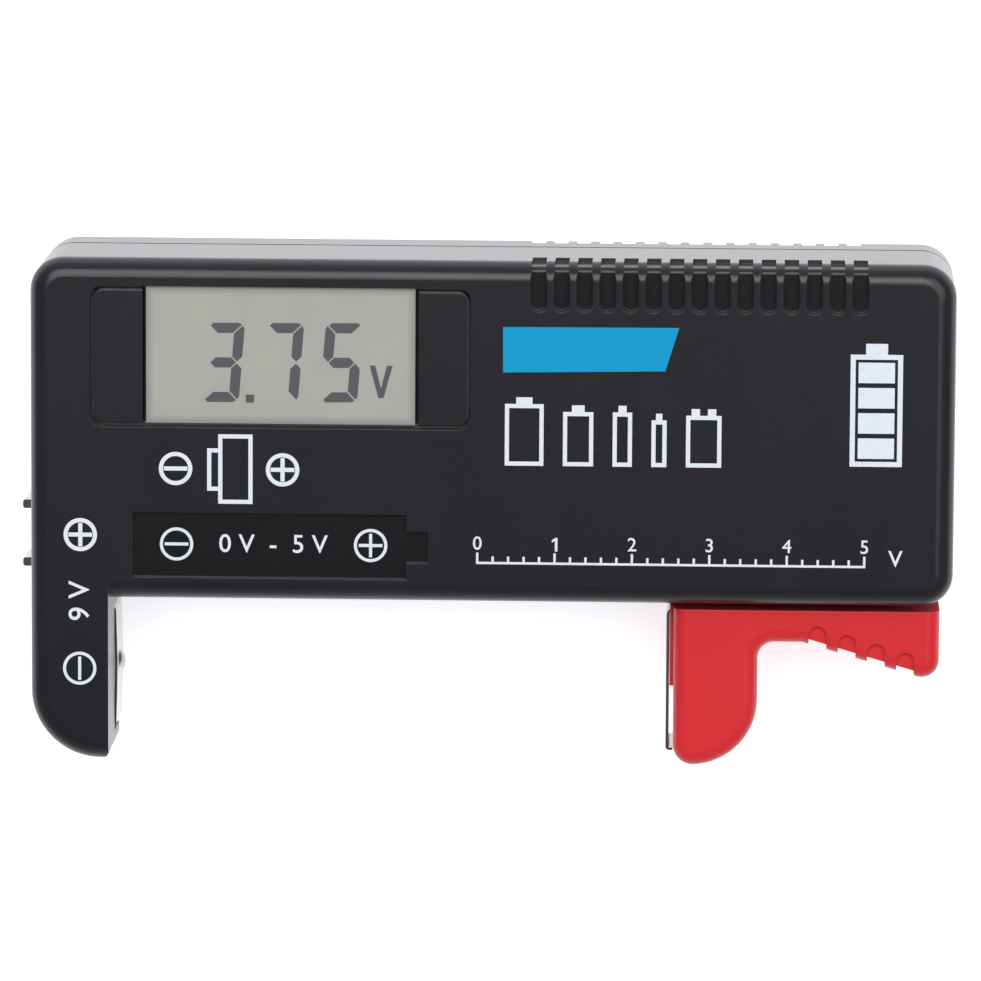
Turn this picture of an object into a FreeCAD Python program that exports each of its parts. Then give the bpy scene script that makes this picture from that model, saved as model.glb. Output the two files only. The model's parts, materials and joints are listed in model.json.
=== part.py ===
"""Battery tester: a hollow two-piece case with a digital display, a fixed leg and a sliding arm.

A round cell is held between the sprung contact on the fixed leg and the sprung contact on the sliding arm.
A square nine volt battery is pressed against the two bars on the left side instead.

Frame: +X along the case to the sliding arm's end, +Y to the grooved edge, +Z out of the display face.
The origin is the centre of the case's main rectangle, on the flat rear face. Units are millimetres.
"""

import FreeCAD
import Part

import math
import os

from FreeCAD import Vector

# Case
CASE_LENGTH = 110.0
BODY_HEIGHT = 40.9
CASE_DEPTH = 25.0
PARTING_LEVEL = 9.0
PARTING_GROOVE_DEPTH = 0.3
PARTING_GROOVE_WIDTH = 0.6
WALL = 2.0
TOP_CORNER_RADIUS = 4.0
LOW_CORNER_RADIUS = 3.8
FRONT_EDGE_RADIUS = 2.2
REAR_EDGE_RADIUS = 2.4
LEG_WIDTH = 9.35
LEG_DROP = 19.5
LEG_HEEL_RADIUS = 8.3
LEG_TOE_RADIUS = 1.0
LEG_REAR_STEP = 1.0

# Grooves over the top edge of both shells
GROOVE_COUNT = 15
GROOVE_PITCH = 2.72
GROOVE_WIDTH = 1.7
GROOVE_DEPTH = 0.55
GROOVE_FACE_DEPTH = 1.1
GROOVE_EDGE_RADIUS = 0.7
GROOVE_RIM = 0.18
GROOVE_REACH_DOWN = 5.75
GROOVE_REACH_BACK = 5.5
GROOVE_INSET = 11.4
REAR_GROOVE_DEPTH = 0.25
REAR_GROOVE_SHIFT = -0.6

# Battery symbol sunk into the front face
SYMBOL_LENGTH = 32.7
SYMBOL_HEIGHT = 7.85
SYMBOL_DEPTH = 0.7
SYMBOL_INSET = 12.25
SYMBOL_RISE = 6.67
SYMBOL_NUB_LENGTH = 2.6
SYMBOL_NUB_HEIGHT = 3.85

# Display
DISPLAY_SIDE_INSET = 7.2
DISPLAY_TOP_INSET = 3.2
DISPLAY_LENGTH = 45.4
DISPLAY_HEIGHT = 16.9
DISPLAY_CORNER_RADIUS = 1.5
BEZEL_GAP = 0.35
BEZEL_SETBACK = 0.25
BEZEL_EDGE_RADIUS = 0.25
BEZEL_FLANGE_LIP = 0.8
BEZEL_FLOOR = 1.2
LCD_LENGTH = 32.0
LCD_SIDE_GAP = 0.42
LCD_TOP_GAP = 0.05
LCD_BOTTOM_GAP = 0.5
LCD_SETBACK = 0.5
LCD_LEDGE = 2.0
LCD_FRONT_GLASS = 0.9
LCD_REAR_GLASS = 0.7
LCD_REFLECTOR = 0.2
ZEBRA_THICKNESS = 1.6
ZEBRA_LENGTH = 27.0
ZEBRA_GAP = 0.3

# Circuit board, under the display
BOARD_GAP = 2.7
BOARD_THICKNESS = 1.2
BOARD_LENGTH = 52.5
BOARD_HEIGHT = 25.6
BOARD_SIDE_INSET = 9.0
BOARD_TOP_INSET = 3.5
BOARD_HOLE_RADIUS = 1.0
BOARD_BOSS_RADIUS = 2.0
BOARD_SCREW_RADIUS = 0.8
BOARD_SCREW_HEAD_RADIUS = 1.7
BOARD_SCREW_HEAD_HEIGHT = 1.3
BOARD_SCREW_BITE = 3.0
BOARD_SCREW_OFFSETS = [(4.0, 4.0), (37.0, 4.0), (49.2, 21.6)]

# Parts on the rear of the board, placed from its lower left corner
CHIP_ACROSS = 19.0
CHIP_UP = 15.6
CHIP_RADIUS = 6.0
CHIP_HEIGHT = 1.7
COIL_ACROSS = 42.0
COIL_UP = 14.6
COIL_RADIUS = 3.0
COIL_HEIGHT = 3.4
COIL_FLANGE = 0.7
COIL_WAIST = 0.6
RESISTOR_ACROSS = 25.5
RESISTOR_UP = 6.0
RESISTOR_LENGTH = 6.5
RESISTOR_RADIUS = 1.25
RESISTOR_LEAD_RADIUS = 0.3
RESISTOR_LEAD_SPAN = 10.0
RESISTOR_LIFT = 0.5
CHIP_PART_COUNT = 5
CHIP_PART_PITCH = 3.0
CHIP_PART_ACROSS = 4.5
CHIP_PART_UP = 10.6
CHIP_PART_LENGTH = 2.0
CHIP_PART_WIDTH = 1.25
CHIP_PART_HEIGHT = 0.6

# Case screws, from the rear
CASE_SCREW_LEFT_INSET = 5.0
CASE_SCREW_RIGHT_INSET = 6.4
CASE_SCREW_LEFT_RISE = 15.0
CASE_SCREW_RIGHT_RISES = [11.9, 33.5]
LEG_SCREW_RISE = 8.3
CASE_BOSS_RADIUS = 2.5
CASE_SCREW_RADIUS = 1.0
CASE_SCREW_HOLE_RADIUS = 1.25
CASE_SCREW_HEAD_RADIUS = 1.75
CASE_SCREW_HEAD_HEIGHT = 1.4
CASE_SCREW_LENGTH = 11.0
SCREW_RECESS_RADIUS = 2.0
SCREW_RECESS_DEPTH = 3.0
SCREW_CROSS_WIDTH = 0.5
SCREW_CROSS_DEPTH = 0.6
SCREW_HOLE_SPARE = 0.5

# Bars that touch a nine volt battery, on the left side
BAR_RISES = [10.07, 3.03]
BAR_THICKNESS = 1.05
BAR_NOSE_RADIUS = 0.3
BAR_LENGTH = 6.9
BAR_PROUD = 1.65
BAR_INSIDE = 1.6
BAR_SLOT_GAP = 0.05

# Sheet metal strips that touch a round cell
STRIP_WIDTH = 10.0
STRIP_SHEET = 0.3
STRIP_BEND = 0.6
STRIP_SLOT_GAP = 0.2
STRIP_MID_LEVEL = 12.5
LEG_STRIP_DROP = 2.5
LEG_STRIP_LENGTH = 14.7
LEG_STRIP_WIDTH = 8.0
LEG_STRIP_MID_LEVEL = 10.8
LEG_STRIP_SINK = 0.05
LEG_RECESS_DEPTH = 0.55
LEG_RECESS_MARGIN = 1.2
LEG_STRIP_BOW = 0.2
LEG_STRIP_BOW_RADIUS = 100.0
LEG_STRIP_TAIL = 1.3
LEG_STRIP_ROOM = 0.7
DIMPLE_RADIUS = 1.6
DIMPLE_HEIGHT = 0.8

# Sliding arm
ARM_END_INSET = 1.45
ARM_LENGTH = 31.75
ARM_WIDTH = 10.05
ARM_REAR_LEVEL = 3.5
ARM_FRONT_LEVEL = 21.5
ARM_GAP = 1.04
ARM_DROP = 19.03
ARM_BAR_HEIGHT = 4.0
ARM_TOE_RADIUS = 2.4
ARM_BACK_LENGTH = 11.1
ARM_INNER_RADIUS = 2.0
ARM_END_RADIUS = 2.1
ARM_EDGE_RADIUS = 1.6
ARM_PAD_PROUD = 0.47
ARM_PAD_LENGTH = 9.8
ARM_PAD_MARGIN = 0.6
RAMP_START = 15.4
RAMP_SLOPE = 0.293
FLUTE_COUNT = 4
FLUTE_FIRST = 17.2
FLUTE_PITCH = 3.5
FLUTE_WIDTH = 2.15
FLUTE_DEPTH = 0.7
FLUTE_REACH = 2.65
NECK_START = 8.5
NECK_LENGTH = 18.0
NECK_THICKNESS = 4.4
NECK_GAP = 0.3
FOOT_THICKNESS = 1.5
FOOT_FRONT_OVERHANG = 2.6
FOOT_REAR_OVERHANG = 1.8
FOOT_LIFT = 0.3
CLOSED_GAP = 2.6
TRAVEL_OPEN = 1.0
SLOT_END_GAP = 0.5

# Strip on the sliding arm
ARM_STRIP_STANDOFF = 0.75
ARM_STRIP_DROP = 0.7
ARM_STRIP_LENGTH = 16.95
ARM_STRIP_TAIL = 2.9
ARM_STRIP_HOOK = 0.7

# Sliding electrical path inside the case
WIPER_OFFSET = 11.5
WIPER_WIDTH = 2.4
WIPER_SHEET = 0.3
WIPER_SLOT_GAP = 0.15
WIPER_TAB_START = 0.9
WIPER_TAB_DROP = 0.6
WIPER_TIP = 2.2
RAIL_HEIGHT = 6.7
RAIL_SHEET = 0.4
RAIL_WIDTH = 4.0
RAIL_OVERRUN = 3.5
RAIL_TOUCH_GAP = 0.08
RAIL_RIB_THICKNESS = 1.6
RAIL_RIB_COVER = 1.3

# Hook-up wire
WIRE_RADIUS = 0.5
WIRE_BEND = 1.6
WIRE_TOUCH_GAP = 0.03
WIRE_PAD_INSET = 1.6
LEG_WIRE_LIFT = 1.0

# Places that follow from the sizes above
LEFT = -CASE_LENGTH / 2
RIGHT = CASE_LENGTH / 2
TOP = BODY_HEIGHT / 2
BOTTOM = -BODY_HEIGHT / 2
LEG_FACE = LEFT + LEG_WIDTH
LEG_BOTTOM = BOTTOM - LEG_DROP
FRONT_INNER = CASE_DEPTH - WALL
GROOVE_FIRST_X = RIGHT - GROOVE_INSET - GROOVE_PITCH * (GROOVE_COUNT - 1)
DISPLAY_X = LEFT + DISPLAY_SIDE_INSET + DISPLAY_LENGTH / 2
DISPLAY_Y = TOP - DISPLAY_TOP_INSET - DISPLAY_HEIGHT / 2
LCD_FRONT = CASE_DEPTH - LCD_SETBACK
LCD_GLASS_JOINT = LCD_FRONT - LCD_FRONT_GLASS
LCD_GLASS_REAR = LCD_GLASS_JOINT - LCD_REAR_GLASS
LCD_REAR = LCD_GLASS_REAR - LCD_REFLECTOR
LCD_HEIGHT = DISPLAY_HEIGHT - LCD_TOP_GAP - LCD_BOTTOM_GAP
LCD_Y = DISPLAY_Y + (LCD_BOTTOM_GAP - LCD_TOP_GAP) / 2
BEZEL_REAR = LCD_REAR - BEZEL_FLOOR
BOARD_FRONT = BEZEL_REAR - BOARD_GAP
BOARD_REAR = BOARD_FRONT - BOARD_THICKNESS
BOARD_LEFT = LEFT + BOARD_SIDE_INSET
BOARD_RIGHT = BOARD_LEFT + BOARD_LENGTH
BOARD_TOP = TOP - BOARD_TOP_INSET
BOARD_BOTTOM = BOARD_TOP - BOARD_HEIGHT
BOARD_SCREW_PLACES = [(BOARD_LEFT + across, BOARD_BOTTOM + up) for across, up in BOARD_SCREW_OFFSETS]
CHIP_X = BOARD_LEFT + CHIP_ACROSS
CHIP_Y = BOARD_BOTTOM + CHIP_UP
COIL_X = BOARD_LEFT + COIL_ACROSS
COIL_Y = BOARD_BOTTOM + COIL_UP
RESISTOR_X = BOARD_LEFT + RESISTOR_ACROSS
RESISTOR_Y = BOARD_BOTTOM + RESISTOR_UP
CASE_SCREW_PLACES = [
    (LEFT + CASE_SCREW_LEFT_INSET, BOTTOM + CASE_SCREW_LEFT_RISE),
    (LEFT + LEG_WIDTH / 2, LEG_BOTTOM + LEG_SCREW_RISE),
    (RIGHT - CASE_SCREW_RIGHT_INSET, BOTTOM + CASE_SCREW_RIGHT_RISES[0]),
    (RIGHT - CASE_SCREW_RIGHT_INSET, BOTTOM + CASE_SCREW_RIGHT_RISES[1]),
]
ZEBRA_OUTER = LCD_HEIGHT / 2 - BEZEL_FLANGE_LIP
ZEBRA_INNER = ZEBRA_OUTER - ZEBRA_THICKNESS
ARM_TOP = BOTTOM - ARM_GAP
ARM_BOTTOM = ARM_TOP - ARM_DROP
ARM_END = RIGHT - ARM_END_INSET
ARM_LEFT = ARM_END - ARM_LENGTH
ARM_BACK = ARM_LEFT + ARM_WIDTH
ARM_BAR_BOTTOM = ARM_TOP - ARM_BAR_HEIGHT
ARM_STRIP_X = ARM_LEFT - ARM_STRIP_STANDOFF
LEG_STRIP_X = LEG_FACE - LEG_STRIP_SINK
DIMPLE_TIP = LEG_STRIP_X + LEG_STRIP_BOW + DIMPLE_HEIGHT
TRAVEL_CLOSED = ARM_STRIP_X - STRIP_SHEET / 2 - DIMPLE_TIP - CLOSED_GAP
NECK_LEFT = ARM_LEFT + NECK_START
NECK_RIGHT = NECK_LEFT + NECK_LENGTH
NECK_REAR = PARTING_LEVEL + NECK_GAP
NECK_FRONT = NECK_REAR + NECK_THICKNESS
NECK_MID = (NECK_REAR + NECK_FRONT) / 2
FOOT_BOTTOM = BOTTOM + WALL + FOOT_LIFT
FOOT_TOP = FOOT_BOTTOM + FOOT_THICKNESS
RAIL_UNDERSIDE = BOTTOM + RAIL_HEIGHT
RAIL_TOP = RAIL_UNDERSIDE + RAIL_SHEET
RAIL_REAR = NECK_MID - RAIL_WIDTH / 2
RAIL_FRONT = NECK_MID + RAIL_WIDTH / 2
WIPER_X = ARM_LEFT + WIPER_OFFSET
RAIL_LEFT = WIPER_X - TRAVEL_CLOSED - RAIL_OVERRUN
RAIL_RIGHT = WIPER_X + WIPER_TIP + TRAVEL_OPEN + RAIL_OVERRUN
STRIP_REAR = STRIP_MID_LEVEL - STRIP_WIDTH / 2
STRIP_FRONT = STRIP_MID_LEVEL + STRIP_WIDTH / 2
LEG_STRIP_REAR = LEG_STRIP_MID_LEVEL - LEG_STRIP_WIDTH / 2
LEG_STRIP_FRONT = LEG_STRIP_MID_LEVEL + LEG_STRIP_WIDTH / 2
LEG_STRIP_TOP = BOTTOM - LEG_STRIP_DROP
LEG_STRIP_BOTTOM = LEG_STRIP_TOP - LEG_STRIP_LENGTH
LEG_STRIP_END = LEG_FACE - WALL - LEG_STRIP_TAIL
ARM_STRIP_TOP = ARM_TOP - ARM_STRIP_DROP
ARM_STRIP_BOTTOM = ARM_STRIP_TOP - ARM_STRIP_LENGTH
WIPER_TAB_Y = ARM_STRIP_TOP - WIPER_TAB_DROP
BAR_PLACES = [BOTTOM + rise for rise in BAR_RISES]
BAR_TOP_LEVEL = PARTING_LEVEL + BAR_LENGTH
BAR_INNER_END = LEFT + WALL + BAR_INSIDE
WIRE_PAD_Y = BOARD_BOTTOM + WIRE_PAD_INSET
LEG_WIRE_LEVEL = PARTING_LEVEL + LEG_WIRE_LIFT
BAR_WIRE_LEVEL = PARTING_LEVEL + BAR_LENGTH / 2
BAR_WIRE_TURN = BAR_INNER_END + 2 * WIRE_BEND


# General shapes

def box(x0, x1, y0, y1, z0, z1):
    return Part.makeBox(x1 - x0, y1 - y0, z1 - z0, Vector(x0, y0, z0))


def post(x, y, radius, z0, z1):
    return Part.makeCylinder(radius, z1 - z0, Vector(x, y, z0))


def corner_arc(previous, here, following, radius):
    """Where an arc of this radius leaves one straight line, its middle, and where it joins the next line."""
    back = Vector(previous - here).normalize()
    ahead = Vector(following - here).normalize()
    half = back.getAngle(ahead) / 2
    reach = radius / math.tan(half)
    inward = Vector(back + ahead).normalize()
    middle = here + inward * (radius / math.sin(half) - radius)
    return here + back * reach, middle, here + ahead * reach


def line(start, end):
    return Part.LineSegment(start, end).toShape()


def arc(start, middle, end):
    return Part.Arc(start, middle, end).toShape()


def rounded_wire(corners, level):
    """A closed outline through (x, y, radius) corners at one level, each corner rounded by an arc."""
    places = [Vector(x, y, level) for x, y, radius in corners]
    count = len(corners)
    bends = []
    for index, (x, y, radius) in enumerate(corners):
        if radius > 0:
            bends.append(corner_arc(places[index - 1], places[index], places[(index + 1) % count], radius))
        else:
            bends.append((places[index], places[index], places[index]))
    edges = []
    for index, (start, middle, end) in enumerate(bends):
        if corners[index][2] > 0:
            edges.append(arc(start, middle, end))
        following = bends[(index + 1) % count][0]
        edges.append(line(end, following))
    return Part.Wire(edges)


def prism(wire, height):
    return Part.Face(wire).extrude(Vector(0, 0, height))


def rounded_plate(x, y, length, height, radius, z0, z1):
    """A flat plate with rounded corners, centred on x and y."""
    left = x - length / 2
    right = x + length / 2
    low = y - height / 2
    high = y + height / 2
    corners = [(left, low, radius), (right, low, radius), (right, high, radius), (left, high, radius)]
    return prism(rounded_wire(corners, z0), z1 - z0)


def edges_at_level(shape, level):
    """The edges that lie wholly at one level."""
    found = []
    for edge in shape.Edges:
        if all(abs(vertex.Point.z - level) < 1e-6 for vertex in edge.Vertexes):
            found.append(edge)
    return found


def sheet_strip(points, thickness, z0, z1):
    """Sheet metal of one thickness, centred on a path of (x, y, bend radius) points, spanning z0 to z1."""
    half = thickness / 2
    last = len(points) - 1
    one_side = []
    other_side = []
    for index, (x, y, radius) in enumerate(points):
        here = Vector(x, y, 0)
        following = points[min(index + 1, last)]
        previous = points[max(index - 1, 0)]
        outgoing = Vector(following[0], following[1], 0) - here
        incoming = here - Vector(previous[0], previous[1], 0)
        if index == 0:
            incoming = outgoing
        if index == last:
            outgoing = incoming
        incoming = Vector(incoming).normalize()
        outgoing = Vector(outgoing).normalize()
        normal = Vector(-incoming.y - outgoing.y, incoming.x + outgoing.x, 0).normalize()
        along = normal.x * -incoming.y + normal.y * incoming.x
        shift = normal * (half / along)
        turn = incoming.x * outgoing.y - incoming.y * outgoing.x
        lean = math.copysign(half, turn) if radius > 0 else 0
        one_side.append((x + shift.x, y + shift.y, radius - lean))
        other_side.append((x - shift.x, y - shift.y, radius + lean))
    other_side.reverse()
    return prism(rounded_wire(one_side + other_side, z0), z1 - z0)


def wire_run(points):
    """Insulated wire along straight runs joined by tangent arcs."""
    path = []
    reached = points[0]
    for previous, here, following in zip(points, points[1:], points[2:]):
        back = previous - here
        ahead = following - here
        room = 0.45 * min(back.Length, ahead.Length) * math.tan(back.getAngle(ahead) / 2)
        start, middle, end = corner_arc(previous, here, following, min(WIRE_BEND, room))
        path.append(line(reached, start))
        path.append(arc(start, middle, end))
        reached = end
    path.append(line(reached, points[-1]))
    section = Part.Wire([Part.Circle(points[0], points[1] - points[0], WIRE_RADIUS).toShape()])
    return Part.Wire(path).makePipeShell([section], True, True)


# Case

def body_wire(inset, level):
    """The main rectangle's outline, moved inwards by inset."""
    corners = [
        (LEFT + inset, BOTTOM + inset, LOW_CORNER_RADIUS - inset),
        (RIGHT - inset, BOTTOM + inset, LOW_CORNER_RADIUS - inset),
        (RIGHT - inset, TOP - inset, TOP_CORNER_RADIUS - inset),
        (LEFT + inset, TOP - inset, TOP_CORNER_RADIUS - inset),
    ]
    return rounded_wire(corners, level)


def leg_wire(inset, face, level):
    """The leg's outline, running up inside the main rectangle, moved inwards by inset."""
    heel = min(LEG_HEEL_RADIUS - inset, 0.96 * (face - LEFT - 2 * inset))
    corners = [
        (LEFT + inset, LEG_BOTTOM + inset, heel),
        (face - inset, LEG_BOTTOM + inset, 0),
        (face - inset, 0, 0),
        (LEFT + inset, 0, 0),
    ]
    return rounded_wire(corners, level)


def outer_edges(leg, level, face):
    """A leg's edges at one level, without its inner face's and the one inside the main rectangle."""
    found = []
    for edge in edges_at_level(leg, level):
        ends = [vertex.Point for vertex in edge.Vertexes]
        inner = all(abs(end.x - face) < 1e-6 for end in ends)
        hidden = all(abs(end.y) < 1e-6 for end in ends)
        if not inner and not hidden:
            found.append(edge)
    return found


def leg_toe(face, z0, z1):
    """What is taken off the leg's inner lower corner to round it."""
    x = face - LEG_TOE_RADIUS
    y = LEG_BOTTOM + LEG_TOE_RADIUS
    corner = box(x, face, LEG_BOTTOM, y, z0, z1)
    return corner.cut(post(x, y, LEG_TOE_RADIUS, z0, z1))


def front_block():
    """The front shell's solid form, its front edge rounded except along the leg's inner face."""
    height = CASE_DEPTH - PARTING_LEVEL
    body = prism(body_wire(0, PARTING_LEVEL), height)
    body = body.makeFillet(FRONT_EDGE_RADIUS, edges_at_level(body, CASE_DEPTH))
    leg = prism(leg_wire(0, LEG_FACE, PARTING_LEVEL), height)
    leg = leg.makeFillet(FRONT_EDGE_RADIUS, outer_edges(leg, CASE_DEPTH, LEG_FACE))
    return body.fuse(leg)


def rear_block(inset):
    """The rear shell's solid form, its rear edge rounded and its leg a step narrower than the front's."""
    face = LEG_FACE - LEG_REAR_STEP
    height = PARTING_LEVEL - inset
    radius = REAR_EDGE_RADIUS - inset
    body = prism(body_wire(inset, inset), height)
    body = body.makeFillet(radius, edges_at_level(body, inset))
    leg = prism(leg_wire(inset, face, inset), height)
    leg = leg.makeFillet(radius, outer_edges(leg, inset, face - inset))
    return body.fuse(leg)


def hollow(face, z0, z1):
    """The space inside a shell's walls."""
    body = prism(body_wire(WALL, z0), z1 - z0)
    return body.fuse(prism(leg_wire(WALL, face, z0), z1 - z0))


def groove_places(shift):
    return [GROOVE_FIRST_X + shift + index * GROOVE_PITCH for index in range(GROOVE_COUNT)]


def groove_wire(x, half, level):
    """A groove's outline, round at its lower end and open past the top edge."""
    low = TOP - GROOVE_REACH_DOWN + GROOVE_WIDTH / 2
    high = TOP + GROOVE_DEPTH
    corners = [Vector(x - half, high, level), Vector(x - half, low, level),
               Vector(x + half, low, level), Vector(x + half, high, level)]
    return Part.Wire([
        line(corners[0], corners[1]),
        arc(corners[1], Vector(x, low - half, level), corners[2]),
        line(corners[2], corners[3]),
        line(corners[3], corners[0]),
    ])


def groove_rim(x):
    """The chamfer round a groove's mouth on the front face."""
    half = GROOVE_WIDTH / 2
    inner = groove_wire(x, half - GROOVE_RIM, CASE_DEPTH - 2 * GROOVE_RIM)
    outer = groove_wire(x, half + 2 * GROOVE_RIM, CASE_DEPTH + GROOVE_RIM)
    return Part.makeLoft([inner, outer], True, True)


def front_grooves():
    """The grooves, less the round-edged core that they leave standing."""
    low = CASE_DEPTH - GROOVE_REACH_BACK
    floor = CASE_DEPTH - GROOVE_FACE_DEPTH
    core = box(GROOVE_FIRST_X - GROOVE_PITCH, RIGHT, TOP - 2 * GROOVE_REACH_DOWN, TOP - GROOVE_DEPTH,
               low, floor)
    edge = [edge for edge in edges_at_level(core, floor) if edge.BoundBox.YMin > TOP - 2 * GROOVE_DEPTH]
    core = core.makeFillet(GROOVE_EDGE_RADIUS, edge)
    cuts = []
    for x in groove_places(0):
        groove = prism(groove_wire(x, GROOVE_WIDTH / 2, low), GROOVE_REACH_BACK + GROOVE_DEPTH)
        cuts += [groove.cut(core), groove_rim(x)]
    return cuts


def rear_grooves():
    core = rear_block(REAR_GROOVE_DEPTH)
    cuts = []
    for x in groove_places(REAR_GROOVE_SHIFT):
        groove = prism(groove_wire(x, GROOVE_WIDTH / 2, -REAR_GROOVE_DEPTH), GROOVE_REACH_BACK)
        cuts.append(groove.cut(core))
    return cuts


def parting_groove():
    """The thin step round the rear shell's rim that shows as the parting line."""
    low = PARTING_LEVEL - PARTING_GROOVE_WIDTH
    face = LEG_FACE - LEG_REAR_STEP
    outside = box(LEFT - 1, RIGHT + 1, LEG_BOTTOM - 1, TOP + 1, low, PARTING_LEVEL)
    kept = prism(body_wire(PARTING_GROOVE_DEPTH, low), PARTING_GROOVE_WIDTH)
    return outside.cut(kept.fuse(prism(leg_wire(PARTING_GROOVE_DEPTH, face, low), PARTING_GROOVE_WIDTH)))


def sunk_symbol():
    """The shallow battery-shaped recess in the front face."""
    floor = CASE_DEPTH - SYMBOL_DEPTH
    left = LEFT + SYMBOL_INSET
    right = left + SYMBOL_LENGTH
    middle = BOTTOM + SYMBOL_RISE
    half = SYMBOL_HEIGHT / 2
    nub = SYMBOL_NUB_HEIGHT / 2
    cell = box(left, right, middle - half, middle + half, floor, CASE_DEPTH)
    tip = box(right, right + SYMBOL_NUB_LENGTH, middle - nub, middle + nub, floor, CASE_DEPTH)
    return cell.fuse(tip)


def leg_strip_slots():
    """The slots in the leg's inner wall that the contact strip's two ends pass through."""
    slots = []
    reach = STRIP_SHEET / 2 + STRIP_SLOT_GAP
    for y in (LEG_STRIP_TOP, LEG_STRIP_BOTTOM):
        slots.append(box(LEG_STRIP_END - LEG_STRIP_ROOM, LEG_FACE + 1, y - reach, y + reach,
                         LEG_STRIP_REAR - STRIP_SLOT_GAP, LEG_STRIP_FRONT + STRIP_SLOT_GAP))
    return slots


def leg_recess():
    """The shallow recess in the leg's inner face that the contact strip is pressed into."""
    reach = STRIP_SHEET / 2 + STRIP_SLOT_GAP
    return box(LEG_FACE - LEG_RECESS_DEPTH, LEG_FACE + 1, LEG_STRIP_BOTTOM - reach, LEG_STRIP_TOP + reach,
               PARTING_LEVEL, LEG_STRIP_FRONT + LEG_RECESS_MARGIN)


def bar_slots():
    """The slots in the left wall for the nine volt bars, open at the parting plane."""
    slots = []
    half = BAR_THICKNESS / 2 + BAR_SLOT_GAP
    for y in BAR_PLACES:
        slots.append(box(LEFT - 1, BAR_INNER_END, y - half, y + half,
                         PARTING_LEVEL, BAR_TOP_LEVEL + BAR_SLOT_GAP))
    return slots


def slider_slot():
    """The slot in the bottom wall that the sliding arm's neck runs in."""
    return box(NECK_LEFT - TRAVEL_CLOSED - SLOT_END_GAP, NECK_RIGHT + TRAVEL_OPEN + SLOT_END_GAP,
               BOTTOM - 1, FOOT_BOTTOM, PARTING_LEVEL, NECK_FRONT + NECK_GAP)


def rail_ribs():
    """Two ribs inside the front shell, notched to hold the contact rail."""
    ribs = []
    for x in (RAIL_LEFT, RAIL_RIGHT - RAIL_RIB_THICKNESS):
        far = x + RAIL_RIB_THICKNESS
        rib = box(x, far, RAIL_UNDERSIDE - RAIL_RIB_COVER, RAIL_TOP + RAIL_RIB_COVER, RAIL_REAR, FRONT_INNER)
        ribs.append(rib.cut(box(x, far, RAIL_UNDERSIDE, RAIL_TOP, RAIL_REAR, RAIL_FRONT)))
    return ribs


def make_front_shell():
    shell = front_block().cut(hollow(LEG_FACE, PARTING_LEVEL, FRONT_INNER))
    added = rail_ribs()
    for x, y in CASE_SCREW_PLACES:
        added.append(post(x, y, CASE_BOSS_RADIUS, PARTING_LEVEL, FRONT_INNER))
    for x, y in BOARD_SCREW_PLACES:
        added.append(post(x, y, BOARD_BOSS_RADIUS, BOARD_FRONT, FRONT_INNER))
    shell = shell.fuse(added)
    removed = [sunk_symbol(), slider_slot(), leg_recess(), leg_toe(LEG_FACE, PARTING_LEVEL, CASE_DEPTH)]
    removed += leg_strip_slots() + bar_slots() + front_grooves()
    removed.append(rounded_plate(DISPLAY_X, DISPLAY_Y, DISPLAY_LENGTH, DISPLAY_HEIGHT,
                                 DISPLAY_CORNER_RADIUS, FRONT_INNER, CASE_DEPTH))
    tip = SCREW_RECESS_DEPTH + CASE_SCREW_LENGTH + SCREW_HOLE_SPARE
    for x, y in CASE_SCREW_PLACES:
        removed.append(post(x, y, CASE_SCREW_RADIUS, PARTING_LEVEL, tip))
    for x, y in BOARD_SCREW_PLACES:
        removed.append(post(x, y, BOARD_SCREW_RADIUS, BOARD_FRONT,
                            BOARD_FRONT + BOARD_SCREW_BITE + SCREW_HOLE_SPARE))
    return shell.cut(removed).removeSplitter()


def make_rear_shell():
    face = LEG_FACE - LEG_REAR_STEP
    shell = rear_block(0).cut(hollow(face, WALL, PARTING_LEVEL))
    shell = shell.fuse([post(x, y, CASE_BOSS_RADIUS, WALL, PARTING_LEVEL) for x, y in CASE_SCREW_PLACES])
    removed = [parting_groove(), leg_toe(face, 0, PARTING_LEVEL)] + leg_strip_slots() + rear_grooves()
    for x, y in CASE_SCREW_PLACES:
        removed.append(post(x, y, SCREW_RECESS_RADIUS, 0, SCREW_RECESS_DEPTH))
        removed.append(post(x, y, CASE_SCREW_HOLE_RADIUS, 0, PARTING_LEVEL))
    return shell.cut(removed).removeSplitter()


def screw(x, y, head_radius, head_height, radius, seat, tip):
    """A cross-head screw driven from the rear, its head below the seat and its shank up to the tip."""
    low = seat - head_height
    head = post(x, y, head_radius, low, seat)
    head = head.makeChamfer(head_height / 3, edges_at_level(head, low))
    long = head_radius * 0.6
    short = SCREW_CROSS_WIDTH / 2
    floor = low + SCREW_CROSS_DEPTH
    across = box(x - long, x + long, y - short, y + short, low, floor)
    upright = box(x - short, x + short, y - long, y + long, low, floor)
    return head.fuse(post(x, y, radius, seat, tip)).cut([across, upright])


def make_case_screws():
    seat = SCREW_RECESS_DEPTH
    screws = []
    for x, y in CASE_SCREW_PLACES:
        screws.append(screw(x, y, CASE_SCREW_HEAD_RADIUS, CASE_SCREW_HEAD_HEIGHT, CASE_SCREW_RADIUS,
                            seat, seat + CASE_SCREW_LENGTH))
    return Part.makeCompound(screws)


# Display

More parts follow.
